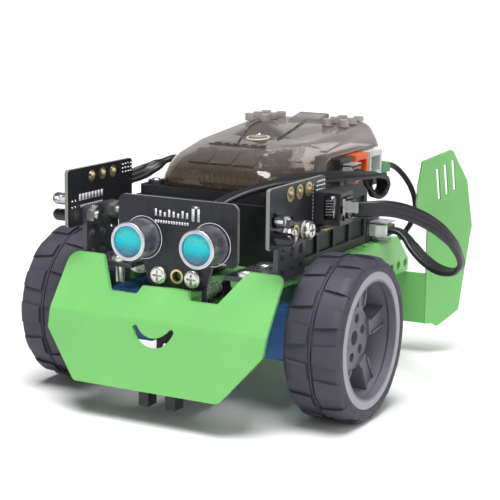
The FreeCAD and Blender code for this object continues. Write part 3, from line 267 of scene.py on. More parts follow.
def circuit_board(name, axis):
    """Black solder mask over copper tracks, with the pale cut edge of the glass-fibre board round it."""
    material = new_material(name, (0.006, 0.006, 0.008), 0.4, Coat_Weight=0.1, Coat_Roughness=0.15,
                            Specular_IOR_Level=0.3)
    nodes, links = nodes_of(material)
    facing = calculated(material, "ABSOLUTE", separated(material, "Normal")[axis])
    on_face = calculated(material, "GREATER_THAN", facing, BOARD_FACE_LIMIT)
    tracks = nodes.new("ShaderNodeTexBrick")
    for socket, value in (("Scale", 190), ("Mortar Size", 0.012), ("Color1", (0.011, 0.012, 0.016, 1)),
                          ("Color2", (0.016, 0.017, 0.021, 1)), ("Mortar", (0.022, 0.023, 0.028, 1))):
        tracks.inputs[socket].default_value = value
    links.new(object_point(material), tracks.inputs["Vector"])
    colour = blend(material, on_face, BOARD_EDGE, tracks.outputs["Color"])
    links.new(colour, shader_input(material, "Base Color"))
    add_bump(material, tracks.outputs["Fac"], strength=0.25, depth=0.04)
    vary_roughness(material, 260, 0.22, 0.42)
    return material


ACRYLIC_IOR = 1.49


def clear_plastic(name, colour, roughness=0.05, weight=1.0):
    """Clear moulded plastic with faint flow marks."""
    material = new_material(name, colour, roughness, Transmission_Weight=weight, IOR=ACRYLIC_IOR)
    vary_colour(material, 40, shaded(colour, 0.9), colour)
    vary_roughness(material, 120, roughness, roughness * 2.2 + 0.02)
    add_bump(material, noise(material, 160, 2.0), strength=0.12, depth=0.3)
    return material


WEAVE_PITCH = 0.75


def mesh_cloth():
    """Woven wire mesh of a transducer: bright blue paint and fine wires, with painted shade low down and a
    painted highlight towards the top.
    """
    material = new_material("transducer_mesh", (0.0, 0.55, 0.75), 0.3, 0.1)
    point = separated(material, "Object")
    waves = []
    for turn in (1, -1):
        diagonal = calculated(material, "MULTIPLY_ADD", point["X"], turn, point["Z"])
        phase = calculated(material, "MULTIPLY", diagonal, math.tau / (WEAVE_PITCH * MM))
        waves.append(calculated(material, "SINE", phase))
    weave = calculated(material, "MAXIMUM", *waves)
    low_corner, high_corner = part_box("transducer_meshes")
    height = share_between(material, point["Z"], low_corner.z, high_corner.z)
    # Painted light by height: dark painted shade at the foot, a bright painted highlight above the middle.
    painted_light_by_height = ramp(material, height, [
        (0.0, (0.07, 0.17, 0.21)), (0.22, (0.02, 0.36, 0.50)), (0.5, (0.0, 0.88, 0.99)),
        (0.8, (0.10, 1.0, 1.0)), (1.0, (0.0, 0.70, 0.85))])
    holes = ramp(material, weave, [(0.35, (0.45, 0.45, 0.45)), (0.65, (1, 1, 1))])
    feed(material, blend(material, 1, painted_light_by_height, holes, "MULTIPLY"), shader_input(material, "Base Color"))
    add_bump(material, weave, strength=0.8, depth=0.25)
    return material


RIM_START, RIM_FULL = 24.7, 25.1       # radii over which the hub turns into the painted highlight on its rim
RIM_HIGHLIGHT_COLOUR = (0.30, 0.30, 0.335)


def wheel_plastic():
    """Grey moulded plastic of the hubs, with a painted highlight on the face of the outer rim."""
    material = moulded("hub_plastic", (0.165, 0.160, 0.195), 0.45, 0.05)
    point = separated(material, "Object")
    across = calculated(material, "SUBTRACT", point["Y"], AXLE_Y)
    up = calculated(material, "SUBTRACT", point["Z"], AXLE_Z * MM)
    up_squared = calculated(material, "MULTIPLY", up, up)
    radius = calculated(material, "SQRT", calculated(material, "MULTIPLY_ADD", across, across, up_squared))
    on_rim = share_between(material, radius, RIM_START * MM, RIM_FULL * MM)
    # Painted highlight: the rim's face is made paler, as where it catches the light.
    mix_in(material, on_rim, RIM_HIGHLIGHT_COLOUR)
    return material


ROOF_REFLECTION_START, ROOF_REFLECTION_FULL = 96, 104        # heights over which the hood turns from amber to a painted pale grey reflection of the sky
ROOF_REFLECTION_COLOUR = (0.56, 0.515, 0.505)


def smoky_hood():
    """Smoky clear plastic: amber low down, with a painted pale grey reflection of the sky towards the roof.
    """
    material = clear_plastic("smoky_plastic", (0.31, 0.255, 0.205), 0.02, 0.86)
    height = share_between(material, separated(material, "Object")["Z"], ROOF_REFLECTION_START * MM, ROOF_REFLECTION_FULL * MM)
    # Painted reflection: paler and greyer towards the roof, as where the hood reflects the bright sky.
    mix_in(material, height, ROOF_REFLECTION_COLOUR)
    return material


MATERIALS = {
    "green": painted("green_paint", (0.168, 0.480, 0.136)),
    "bracket": painted("bracket_paint", (0.045, 0.046, 0.058), 0.45),
    "case": moulded("case_plastic", (0.016, 0.017, 0.020), 0.5, 0.05),
    "board_y": circuit_board("board_facing_front", "Y"),
    "board_x": circuit_board("board_facing_side", "X"),
    "board_z": circuit_board("board_lying", "Z"),
    "socket": moulded("socket_plastic", (0.018, 0.018, 0.021), 0.35),
    "orange": moulded("orange_plastic", (0.80, 0.11, 0.012), 0.4),
    "white": moulded("white_plastic", (0.55, 0.60, 0.56), 0.4),
    "chip": moulded("chip_plastic", (0.02, 0.02, 0.022), 0.45),
    "terminal": moulded("terminal_plastic", (0.035, 0.23, 0.075), 0.4),
    "steel": metal("plated_steel", (0.72, 0.71, 0.68), 0.25, (1, 1, 1), 0.004),
    "can": metal("can_aluminium", (0.64, 0.64, 0.73), 0.36, (1, 0.15, 1), 0.008),
    "rim": metal("bright_rim", (0.86, 0.87, 0.90), 0.22),
    "gold": metal("gold_plate", (0.72, 0.58, 0.30), 0.30),
    "mesh": mesh_cloth(),
    "screw": metal("screw_steel", (0.80, 0.79, 0.76), 0.27),
    "blue": moulded("gearbox_plastic", (0.045, 0.17, 0.46), 0.42),
    "gear": moulded("gear_plastic", (0.70, 0.68, 0.62), 0.45),
    "rotor": metal("rotor_steel", (0.50, 0.48, 0.45), 0.4),
    "tyre": moulded("tyre_rubber", (0.046, 0.044, 0.063), 0.6, 0.12, 0.75, 60),
    "hub": wheel_plastic(),
    "ball": metal("ball_steel", (0.75, 0.75, 0.76), 0.12),
    "wrap": moulded("cell_wrap", (0.03, 0.05, 0.10), 0.3),
    "cable": moulded("cable_sheath", (0.010, 0.010, 0.013), 0.42, 0.02),
    "plug": clear_plastic("plug_plastic", (0.86, 0.88, 0.87)),
    "lens": clear_plastic("lamp_lens", (0.95, 0.96, 0.97), 0.02),
    "dark_lens": moulded("dark_lens", (0.012, 0.010, 0.016), 0.12, 0.01),
    "smoke": smoky_hood(),
    "ink": moulded("print_ink", (0.75, 0.75, 0.76), 0.6, 0.01),
    "smoke_stud": clear_plastic("smoky_stud_plastic", (0.46, 0.42, 0.40), 0.08, 0.4),
    # Dark smoky plastic for the roof's bars and for its painted shadow lines.
    "smoke_dark": clear_plastic("smoky_dark_plastic", (0.10, 0.085, 0.080), 0.10, 0.5),
    "cream": moulded("ring_plastic", (0.52, 0.50, 0.38), 0.45, 0.02),
    "plug_frost": clear_plastic("clear_latch_plastic", (0.88, 0.90, 0.90), 0.12, 0.7),
    "amber": moulded("amber_plastic", (0.30, 0.19, 0.06), 0.4),
}

NODE_MATERIALS = {
    "green": ("chassis_frame", "front_bumper", "rear_fin_plate"),
    "bracket": ("front_bracket", "right_bracket", "left_bracket", "line_bracket"),
    "case": ("battery_box", "controller_tray", "caster_housing"),
    "wrap": ("battery_cells",),
    "smoke": ("shell_cover",),
    "board_z": ("main_board", "line_board"),
    "board_y": ("ultrasonic_board",),
    "board_x": ("right_side_board", "left_side_board"),
    "orange": ("orange_sockets",),
    "white": ("white_sockets", "switch_slider", "board_spacers"),
    "socket": ("black_sockets", "switch_case"),
    "chip": ("main_chips", "line_heads"),
    "steel": ("usb_socket", "motor_cans"),
    "terminal": ("terminal_block",),
    "smoke_stud": ("hood_button",),
    "can": ("transducer_cans",),
    "mesh": ("transducer_meshes",),
    "gold": ("plated_rings",),
    "lens": ("clear_lamps",),
    "dark_lens": ("black_lamps",),
    "screw": ("machine_screws", "hex_nuts", "motor_bolts"),
    "rotor": ("gear_pins", "right_motor_rotor", "left_motor_rotor"),
    "blue": ("right_gearbox_case", "left_gearbox_case", "right_gearbox_cover", "left_gearbox_cover"),
    "gear": ("right_output_gear", "left_output_gear", "right_second_gear", "left_second_gear",
             "right_crown_gear", "left_crown_gear"),
    "tyre": ("right_tyre", "left_tyre"),
    "hub": ("right_hub", "left_hub"),
    "ball": ("caster_ball",),
    "plug": ("data_plugs",),
}


def dress_nodes():
    """Gives each CAD node its material."""
    for key, names in NODE_MATERIALS.items():
        for name in names:
            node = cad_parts[name]
            node.data.materials.clear()
            node.data.materials.append(MATERIALS[key])


dress_nodes()


# ---- mesh pieces ----

def link_piece(name, data, material, body):
    """Links a mesh or curve as a piece of the object that rides on a body."""
    piece = bpy.data.objects.new(name, data)
    bpy.context.scene.collection.objects.link(piece)
    data.materials.append(MATERIALS[material])
    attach(piece, body)
    return piece


def add_block(mesh, low_corner, high_corner, turn=None):
    """A box in a bmesh between two corners, turned about its middle."""
    a, b = at(*low_corner), at(*high_corner)
    middle, size = (a + b) / 2, b - a
    matrix = Matrix.Translation(middle) @ (turn or Matrix.Identity(4)) @ Matrix.Diagonal((*size, 1))
    bmesh.ops.create_cube(mesh, size=1, matrix=matrix)


def add_rod(mesh, start, end, radius, segments=24, end_radius=None):
    """A round bar in a bmesh between two points."""
    a, b = at(*start), at(*end)
    turn = (b - a).to_track_quat("Z", "Y").to_matrix().to_4x4()
    bmesh.ops.create_cone(
        mesh, cap_ends=True, segments=segments, radius1=radius * MM,
        radius2=(radius if end_radius is None else end_radius) * MM, depth=(b - a).length,
        matrix=Matrix.Translation((a + b) / 2) @ turn)


def join_loops(mesh, loops):
    """Faces between each closed loop of vertices and the next."""
    for first, second in zip(loops, loops[1:]):
        for k in range(len(first)):
            j = (k + 1) % len(first)
            mesh.faces.new((first[k], first[j], second[j], second[k]))


def side_block(mesh, side, near, far, y_range, z_range):
    """A box on one side, between two distances from the robot's middle."""
    low_x, high_x = sorted((side * near, side * far))
    add_block(mesh, (low_x, y_range[0], z_range[0]), (high_x, y_range[1], z_range[1]))


def mesh_data(mesh, name):
    """Turns the bmesh into smooth-shaded mesh data."""
    data = bpy.data.meshes.new(name)
    mesh.to_mesh(data)
    mesh.free()
    data.shade_smooth()
    return data


SHARP_EDGE = math.radians(35)


def finish_piece(mesh, name, material, bevel=0.15, body=ROOT):
    """Turns the bmesh into a piece with softened edges; the bevel is in millimetres, or 0 for none."""
    piece = link_piece(name, mesh_data(mesh, name), material, body)
    if bevel:
        modifier = piece.modifiers.new("soft edges", "BEVEL")
        modifier.width = bevel * MM
        modifier.segments = 2
        modifier.limit_method = "ANGLE"
        modifier.angle_limit = SHARP_EDGE
        modifier.harden_normals = True
    return piece


# ---- hood ----

ROOF_Z, ROOF_SLOPE = 103.6, 4.6        # the roof plane's Z where Y is 0, and its rise in degrees
FRONT_SLOPE = 24.5
HOOD_WALL = 1.6
HOOD_ROUNDING = 5.0
STUD_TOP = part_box("shell_cover")[1].z / MM
WINDOW_FRONT, WINDOW_TOP = 45, 99.8
REAR_WINDOW = (-30, 38.5)
BUTTON_Y = 41
BOARD_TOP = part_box("main_board")[1].z / MM


def roof(y, drop=0.0):
    return ROOF_Z + math.tan(math.radians(ROOF_SLOPE)) * y - drop


def hood_ring(points):
    """One cross-section: the right half's points from the front, mirrored to the left."""
    return points + [(-x, y, z) for x, y, z in reversed(points)]


def cut_across(mesh, point, normal):
    """New edges where a plane crosses the mesh."""
    bmesh.ops.bisect_plane(mesh, geom=mesh.verts[:] + mesh.edges[:] + mesh.faces[:],
                           plane_co=at(*point), plane_no=normal)


def in_window(face):
    """Whether a face of the hood lies in one of the openings over the sockets."""
    middle = face.calc_center_median()
    x, y, z = middle.x / MM, (middle.y - AXLE_Y) / MM, middle.z / MM
    side = abs(x) > 32 and y > WINDOW_FRONT
    rear = y > 97.5 and REAR_WINDOW[0] < x < REAR_WINDOW[1]
    return z < WINDOW_TOP and (side or rear)


def hood_shell():
    """The hood's outer skin without a floor, its long edges rounded, with its windows left out."""
    rings = [
        hood_ring([(26.5, 3.6, 88), (37.4, 24, 88), (37.4, 98.8, 88)]),
        hood_ring([(24, 4.4, 97.2), (35.6, 26, 97.4), (35.6, 98.7, 98)]),
        hood_ring([(15.2, 18.8, roof(18.8, 0.3)), (28.8, 43, roof(43, 1.6)), (29, 98.5, roof(98.5, 0.3))]),
    ]
    mesh = bmesh.new()
    loops = [[mesh.verts.new(at(*point)) for point in ring] for ring in rings]
    join_loops(mesh, loops)
    front, corner, rear, other_rear, other_corner, other_front = loops[-1]
    mesh.faces.new((front, corner, rear))
    mesh.faces.new((other_front, other_rear, other_corner))
    mesh.faces.new((front, rear, other_rear, other_front))
    bmesh.ops.recalc_face_normals(mesh, faces=mesh.faces)
    round_edges = []
    for low_loop, high_loop in zip(loops, loops[1:]):
        for k in range(len(high_loop)):
            for pair in ((low_loop[k], high_loop[k]), (high_loop[k], high_loop[(k + 1) % len(high_loop)])):
                round_edges.append(mesh.edges.get(pair))
    bmesh.ops.bevel(mesh, geom=round_edges, offset=HOOD_ROUNDING * MM, segments=8, profile=0.5,
                    affect="EDGES", clamp_overlap=True)
    cut_across(mesh, (0, WINDOW_FRONT, 0), (0, 1, 0))
    cut_across(mesh, (0, 0, WINDOW_TOP), (0, 0, 1))
    for x in REAR_WINDOW:
        cut_across(mesh, (x, 0, 0), (1, 0, 0))
    bmesh.ops.delete(mesh, geom=[face for face in mesh.faces if in_window(face)], context="FACES")
    return mesh


def make_hood_skin():
    """The smoky shell with its wall's thickness and the hole for the button."""
    skin = link_piece("hood_skin", mesh_data(hood_shell(), "hood_skin"), "smoke", ROOT)
    wall = skin.modifiers.new("wall", "SOLIDIFY")
    wall.thickness = HOOD_WALL * MM
    wall.offset = -1
    hole_mesh = bmesh.new()
    add_rod(hole_mesh, (0, BUTTON_Y, 100), (0, BUTTON_Y, 112), 4.4, 48)
    hole = bpy.data.meshes.new("button_hole")
    hole_mesh.to_mesh(hole)
    hole_mesh.free()
    cutter = bpy.data.objects.new("button_hole", hole)
    bpy.context.scene.collection.objects.link(cutter)
    cutter.hide_render = True
    cutter.hide_viewport = True
    cut = skin.modifiers.new("button_hole", "BOOLEAN")
    cut.operation = "DIFFERENCE"
    cut.object = cutter
    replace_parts(skin, "shell_cover")


def make_studs():
    mesh = bmesh.new()
    radius, rim_radius, rim = 2.4, 2.15, 0.25
    for side in (-1, 1):
        for x in (16, 24):
            for row in range(3):
                y = 78 + 8 * row
                rim_start = (side * x, y, STUD_TOP - rim)
                add_rod(mesh, (side * x, y, roof(y) - 0.3), rim_start, radius)
                add_rod(mesh, rim_start, (side * x, y, STUD_TOP), radius, end_radius=rim_radius)
    finish_piece(mesh, "hood_studs", "smoke_stud", 0.2)


def make_hood_relief():
    """Raised panels on the front slope, thin dark rods over the roof as painted shadow lines of its grooves,
    a row of bars on the roof, and a wedge behind.
    """
    panels = bmesh.new()
    lean = Matrix.Rotation(math.radians(FRONT_SLOPE), 4, "X")
    for x in (-11, 0, 11):
        add_block(panels, (x - 5, 6.6, 100.9), (x + 5, 18.2, 102), lean)
    finish_piece(panels, "hood_panels", "smoke", 0.5)

    # Painted shadow: thin dark rods along the roof's grooves stand for their shade, not for raised ribs.
    shadow_lines = bmesh.new()
    lines = (((-3, 28), (-10, 47), (-15, 60), (-17, 67), (-17.8, 78)),
             ((10, 40), (7.6, 53), (5, 66), (0, 90)))
    for line in lines:
        for (x, y), (next_x, next_y) in zip(line, line[1:]):
            add_rod(shadow_lines, (x, y, roof(y) + 0.05), (next_x, next_y, roof(next_y) + 0.05), 0.32, 8)
    add_rod(shadow_lines, (-13.6, 21.6, roof(21.6)), (13.6, 21.6, roof(21.6)), 0.35, 8)
    finish_piece(shadow_lines, "hood_roof_shadow_lines", "smoke_dark", 0)

    bars = bmesh.new()
    width, pitch = 3, 4.4
    lean = Matrix.Rotation(math.radians(ROOF_SLOPE), 4, "X")
    for k in range(6):
        x = -11 + pitch * k
        add_block(bars, (x - width / 2, 24, roof(25) - 0.1), (x + width / 2, 26.4, roof(25) + 0.3), lean)
    finish_piece(bars, "hood_raised_bars", "smoke_dark", 0.2)

    wedge = bmesh.new()
    taper, front_lift, rear_lift = 0.92, 0.1, 1.7
    corners = [(-8, 84), (8, 84), (8, 97), (-8, 97)]
    lifts = (front_lift, front_lift, rear_lift, rear_lift)
    base = [wedge.verts.new(at(x, y, roof(y) - 0.1)) for x, y in corners]
    top = [wedge.verts.new(at(x * taper, y, roof(y) + lift)) for (x, y), lift in zip(corners, lifts)]
    wedge.faces.new(list(reversed(base)))
    wedge.faces.new(top)
    join_loops(wedge, [base, top])
    finish_piece(wedge, "hood_wedge", "smoke", 0.4)


def make_button_ring():
    """A pale ring round the button, its foot in the roof."""
    mesh = bmesh.new()
    sides = 48
    loops = []
    for radius, height in ((4.45, -0.2), (4.45, 0.25), (5.3, 0.25), (5.4, -0.2)):
        loop = []
        for k in range(sides):
            angle = math.tau * k / sides
            y = BUTTON_Y + radius * math.sin(angle)
            loop.append(mesh.verts.new(at(radius * math.cos(angle), y, roof(y) + height)))
        loops.append(loop)
    join_loops(mesh, loops)
    bmesh.ops.recalc_face_normals(mesh, faces=mesh.faces)
    finish_piece(mesh, "hood_button_ring", "cream", 0)


def make_headers():
    """Rows of pin headers seen through the hood's front."""
    headers = bmesh.new()
    pins = bmesh.new()
    pitch, half_base, half_pin = 2.54, 1.3, 0.32
    for y, start, count in ((9.5, -17, 12), (14.5, -13, 8), (20, 4, 9)):
        add_block(headers, (start - half_base, y - half_base, BOARD_TOP),
                  (start + pitch * count, y + half_base, BOARD_TOP + 2.5))
        for k in range(count):
            x = start + pitch * k
            add_block(pins, (x - half_pin, y - half_pin, BOARD_TOP + 2.4),
                      (x + half_pin, y + half_pin, BOARD_TOP + 6))
    finish_piece(headers, "inner_headers", "amber", 0.1)
    finish_piece(pins, "inner_pins", "gold", 0)


def make_board_parts():
    """Capacitors and small blocks on the main board."""
    cans = bmesh.new()
    capacitors = ((-20, 17, 2.6, 5.5), (-22, 25, 2.6, 5.5), (18, 13, 2.2, 4.5), (20, 30, 3.1, 7))
    for x, y, radius, height in capacitors:
        add_rod(cans, (x, y, BOARD_TOP), (x, y, BOARD_TOP + height), radius)
    finish_piece(cans, "inner_capacitors", "can", 0.3)
    parts = bmesh.new()
    blocks = ((-8, 28, 7, 7, 1.2), (8, 30, 9, 5, 1.4), (-24, 34, 4, 6, 2), (0, 38, 4, 3, 1.5),
              (14, 22, 3, 2, 1), (-14, 21, 3, 2, 1))
    for x, y, wide, deep, tall in blocks:
        add_block(parts, (x - wide / 2, y - deep / 2, BOARD_TOP),
                  (x + wide / 2, y + deep / 2, BOARD_TOP + tall))
    finish_piece(parts, "inner_parts", "amber", 0.1)


def make_tray_screws():
    """The corner screws of the tray, each on its boss."""
    bosses = bmesh.new()
    screws = bmesh.new()
    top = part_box("controller_tray")[1].z / MM
    for x in (-33, 33):
        y = 9.5
        add_rod(bosses, (x, y, top - 0.5), (x, y, top + 1.6), 3.6, 40, end_radius=3.2)
        add_rod(screws, (x, y, top + 1.4), (x, y, top + 2.3), 2.2, 32, end_radius=1.7)
    finish_piece(bosses, "tray_screw_bosses", "case", 0.2)
    finish_piece(screws, "tray_screws", "screw", 0.2)


make_hood_skin()
make_studs()
make_hood_relief()
make_button_ring()
make_headers()
make_board_parts()
make_tray_screws()


# ---- wheels ----

WHEEL_RADIUS, TREAD_BASE = 34.15, 32.7
TYRE_INNER, TYRE_MIDDLE, TYRE_OUTER = 50.9, 63.2, 75.5      # distances out from the robot's middle
BLOCKS, BLOCK_DEPTH = 14, 1.6
SPOKES = 5


def wheel_point(side, x, radius, angle):
    """A point of a wheel, from its distance out from the robot's middle, its radius and its angle."""
    return at(side * x, radius * math.cos(angle), AXLE_Z + radius * math.sin(angle))


def revolve(mesh, side, profile, segments=120):
    """A closed profile of (distance out, radius) turned about the wheel's axle."""
    loops = [[mesh.verts.new(wheel_point(side, x, radius, math.tau * k / segments)) for k in range(segments)]
             for x, radius in profile]
    join_loops(mesh, loops + loops[:1])


def add_tread_block(mesh, side, profile, angle):
    """One raised block: profile rows give distance out, radius and half width round the wheel."""
    steps = 6
    tops, roots = [], []
    for x, radius, half in profile:
        turns = [angle + math.radians(half) * (2 * k / steps - 1) for k in range(steps + 1)]
        tops.append([mesh.verts.new(wheel_point(side, x, radius, turn)) for turn in turns])
        roots.append([mesh.verts.new(wheel_point(side, x, radius - BLOCK_DEPTH, turn)) for turn in turns])
    for row in range(len(profile) - 1):
        for k in range(steps):
            mesh.faces.new((tops[row][k], tops[row][k + 1], tops[row + 1][k + 1], tops[row + 1][k]))
        for k in (0, steps):
            mesh.faces.new((tops[row][k], tops[row + 1][k], roots[row + 1][k], roots[row][k]))
    for row in (0, len(profile) - 1):
        for k in range(steps):
            mesh.faces.new((tops[row][k], tops[row][k + 1], roots[row][k + 1], roots[row][k]))


def add_sidewall_marks(mesh, side):
    """Groups of plain marks just off the sidewall."""
    foot, head, half, pitch = 29.2, 30.6, 1.2, 4.2
    corners = ((foot, -half), (foot, half), (head, half), (head, -half))
    lift = Vector((side * 0.12 * MM, 0, 0))
    groups = 5
    for k in range(groups):
        for mark in range(7):
            angle = math.tau * k / groups + math.radians(pitch * mark)
            places = [wheel_point(side, TYRE_OUTER - 0.05, radius, angle + math.radians(turn))
                      for radius, turn in corners]
            mesh.faces.new([mesh.verts.new(place + lift) for place in places])


def make_tyre(name, side):
    """Rubber tyre: smooth carcass with a double groove, and two rows of stepped blocks over its shoulders."""
    mesh = bmesh.new()
    revolve(mesh, side, [
        (51.2, 28.1), (50.9, 29), (50.9, 31.2), (52.2, 32.6), (55, TREAD_BASE), (62.1, TREAD_BASE + 0.4),
        (62.3, 32.5), (62.8, 32.5), (63, 33.4), (63.5, 33.4), (63.7, 32.5), (64.2, 32.5),
        (64.4, TREAD_BASE + 0.4), (71.4, TREAD_BASE), (74.2, 32.6), (75.3, 31.2), (75.5, 29), (75.2, 28.1)])
    outer = [(64.5, WHEEL_RADIUS - 0.05, 5.6), (70.4, WHEEL_RADIUS - 0.1, 6.8), (73.2, 33.7, 7.4),
             (74.9, 32.3, 7.8), (TYRE_OUTER, 30.7, 8.0)]
    wide = [(x, radius, 13.2 - half) for x, radius, half in outer]
    inner = [(2 * TYRE_MIDDLE - x + (0.1 if x > 70 else 0), radius, half) for x, radius, half in outer]
    inner = [(max(x, TYRE_INNER), radius, half) for x, radius, half in inner]
    step = math.tau / BLOCKS
    for k in range(BLOCKS):
        add_tread_block(mesh, side, outer if k % 2 else wide, step * k)
        add_tread_block(mesh, side, inner, step * (k + 0.5))
    add_sidewall_marks(mesh, side)
    bmesh.ops.recalc_face_normals(mesh, faces=mesh.faces)
    tyre = finish_piece(mesh, name + "_tread", "tyre", 0.22, name + "_wheel")
    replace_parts(tyre, name + "_tyre")


def make_spoke_ribs(name, side):
    """Raised edges along both sides of each spoke, which make it a channel."""
    mesh = bmesh.new()
    foot, crest = 68.2, 69.6
    half_rib = 0.45
    first_spoke = math.radians(90 - 7)
    for k in range(SPOKES):
        angle = math.tau * k / SPOKES + first_spoke
        for edge in (-1, 1):
            sections = []
            for radius, half in ((13, 2.9), (19, 3.3), (24.9, 3.9)):
                section = []
                for across, out in ((half - half_rib, foot), (half - half_rib, crest),
                                    (half + half_rib, foot), (half + half_rib, crest)):
                    y = radius * math.cos(angle) - edge * across * math.sin(angle)
                    z = radius * math.sin(angle) + edge * across * math.cos(angle)
                    section.append(mesh.verts.new(at(side * out, y, AXLE_Z + z)))
                sections.append(section)
            for a, b in zip(sections, sections[1:]):
                for i, j in ((0, 1), (1, 3), (3, 2), (2, 0)):
                    mesh.faces.new((a[i], a[j], b[j], b[i]))
            for end in (sections[0], sections[-1]):
                mesh.faces.new((end[0], end[1], end[3], end[2]))
    bmesh.ops.recalc_face_normals(mesh, faces=mesh.faces)
    finish_piece(mesh, name + "_spoke_ribs", "hub", 0.2, name + "_wheel")


for wheel_name, wheel_side in (("right", 1), ("left", -1)):
    make_tyre(wheel_name, wheel_side)
    make_spoke_ribs(wheel_name, wheel_side)


# ---- small parts of the boards ----

SONIC_FACE = (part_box("ultrasonic_board")[0].y - AXLE_Y) / MM
SIDE_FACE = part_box("right_side_board")[1].x / MM
SIDE_BACK = SIDE_FACE - 1.6
PRINT = 0.06                           # how far print stands off its board
EYE_X, EYE_Z = 16, 71.7


def make_front_print():
    """Pale plain bars where the distance sensor's board carries print, and rings round its transducers."""
    mesh = bmesh.new()

    def bar(left, right, low_z, high_z):
        add_block(mesh, (left, SONIC_FACE - PRINT, low_z), (right, SONIC_FACE, high_z))

    for k in range(8):
        bar(-10.4 + 2.1 * k, -9.5 + 2.1 * k, 81.2, 84.2 - 0.6 * (k % 3))
    for left, right, low_z in ((6.9, 8.2, 80.4), (6.9, 10.6, 85.6), (9.5, 10.6, 80.4)):
        bar(left, right, low_z, 86.6)
    for k in range(13):
        bar(-10.4 + 1.25 * k, -9.6 + 1.25 * k, 78.4, 79.6)
    inner, outer, segments = 8.7, 9.0, 60
    for x in (-EYE_X, EYE_X):
        for k in range(segments):
            angle, turn = math.tau * k / segments, math.tau * (k + 1) / segments
            corners = [(x + radius * math.cos(way), EYE_Z + radius * math.sin(way))
                       for radius, way in ((inner, angle), (outer, angle), (outer, turn), (inner, turn))]
            mesh.faces.new([mesh.verts.new(at(across, SONIC_FACE - 0.05, up)) for across, up in corners])
    for side in (-1, 1):
        for k in range(4):
            bar(side * 21 - 1.5 + 0.9 * k, side * 21 - 0.9 + 0.9 * k, 63.9, 64.6)
    finish_piece(mesh, "front_board_print", "ink", 0)


def make_side_print():
    """Plain bars on the outer faces of both side boards and on the left board's inner face."""
    mesh = bmesh.new()
    for side in (-1, 1):
        for k in range(11):
            z = 79.6 + 1.5 * k
            side_block(mesh, side, SIDE_FACE, SIDE_FACE + PRINT, (-0.7, -0.4), (z, z + 0.8))
    for k in range(8):
        side_block(mesh, -1, SIDE_BACK - PRINT, SIDE_BACK, (-30 + 2.3 * k, -28.5 + 2.3 * k), (84.4, 87.2))
    for k in range(12):
        side_block(mesh, -1, SIDE_BACK - PRINT, SIDE_BACK, (-29 + 1.4 * k, -28.2 + 1.4 * k), (81.6, 82.6))
    finish_piece(mesh, "side_board_print", "ink", 0)


def make_solder():
    """Soldered pins of the sockets on both faces of the side boards."""
    mesh = bmesh.new()
    for side in (-1, 1):
        for face, out in ((SIDE_FACE, 1), (SIDE_BACK, -1)):
            x = side * face
            for row in range(3):
                for column in range(4):
                    y, z = 2.6 + 2.2 * column, 92.6 + 1.7 * row
                    add_rod(mesh, (x, y, z), (x + side * out * 0.7, y, z), 0.55, 10, end_radius=0.25)
    finish_piece(mesh, "solder_points", "rim", 0)


def make_side_headers():
    """A three-pin header low on each side board, and the left board's lamp solder."""
    block = bmesh.new()
    pins = bmesh.new()
    for side in (-1, 1):
        side_block(block, side, SIDE_FACE, SIDE_FACE + 2.5, (1.6, 9.4), (75.4, 78))
        for k in range(3):
            y = 2.9 + 2.54 * k
            side_block(pins, side, SIDE_FACE, SIDE_FACE + 5, (y - 0.32, y + 0.32), (76.4, 77))
    finish_piece(block, "side_headers", "chip", 0.1)
    finish_piece(pins, "side_header_pins", "gold", 0)
    dots = bmesh.new()
    for y in (-35.2, -32.9):
        for z in (84.8, 82.2):
            add_rod(dots, (-SIDE_BACK, y, z), (-SIDE_BACK + 0.5, y, z), 0.6, 10, end_radius=0.3)
    finish_piece(dots, "lamp_solder", "rim", 0)


LEAD_RADIUS = 1.3


def round_lead(name, points, resolution):
    """A round sleeved lead along a route, as curve data."""
    curve = spline_curve(name, points)
    curve.bevel_depth = LEAD_RADIUS * MM
    curve.bevel_resolution = resolution
    curve.use_fill_caps = True
    return curve


def make_motor_leads():
    """Each motor's pair of sleeved leads, slack under the deck up through its middle hole; the dark slack
    also serves as painted shadow in the bumper's slot.
    """
    for side, label in ((1, "right"), (-1, "left")):
        for k in range(2):
            shift = 2.4 * k
            route = [
                (side * 29, 54 + shift, 38), (side * 24, 57 + shift, 34), (side * 18, 52, 28 + shift),
                (side * (15 - shift), 40, 25 + shift), (side * (14 - shift), 26, 24.5 + shift),
                (side * (13 - shift), 12, 25 + shift), (side * (11 - shift), 3, 29 + shift),
                (side * (9 - shift), 0.5 + shift, 38), (side * (7 - shift), 2 + shift, 48),
                (side * (6 - shift), 4, 56),
            ]
            name = f"{label}_motor_lead_{k}"
            link_piece(name, round_lead(name, route, 5), "cable", ROOT)


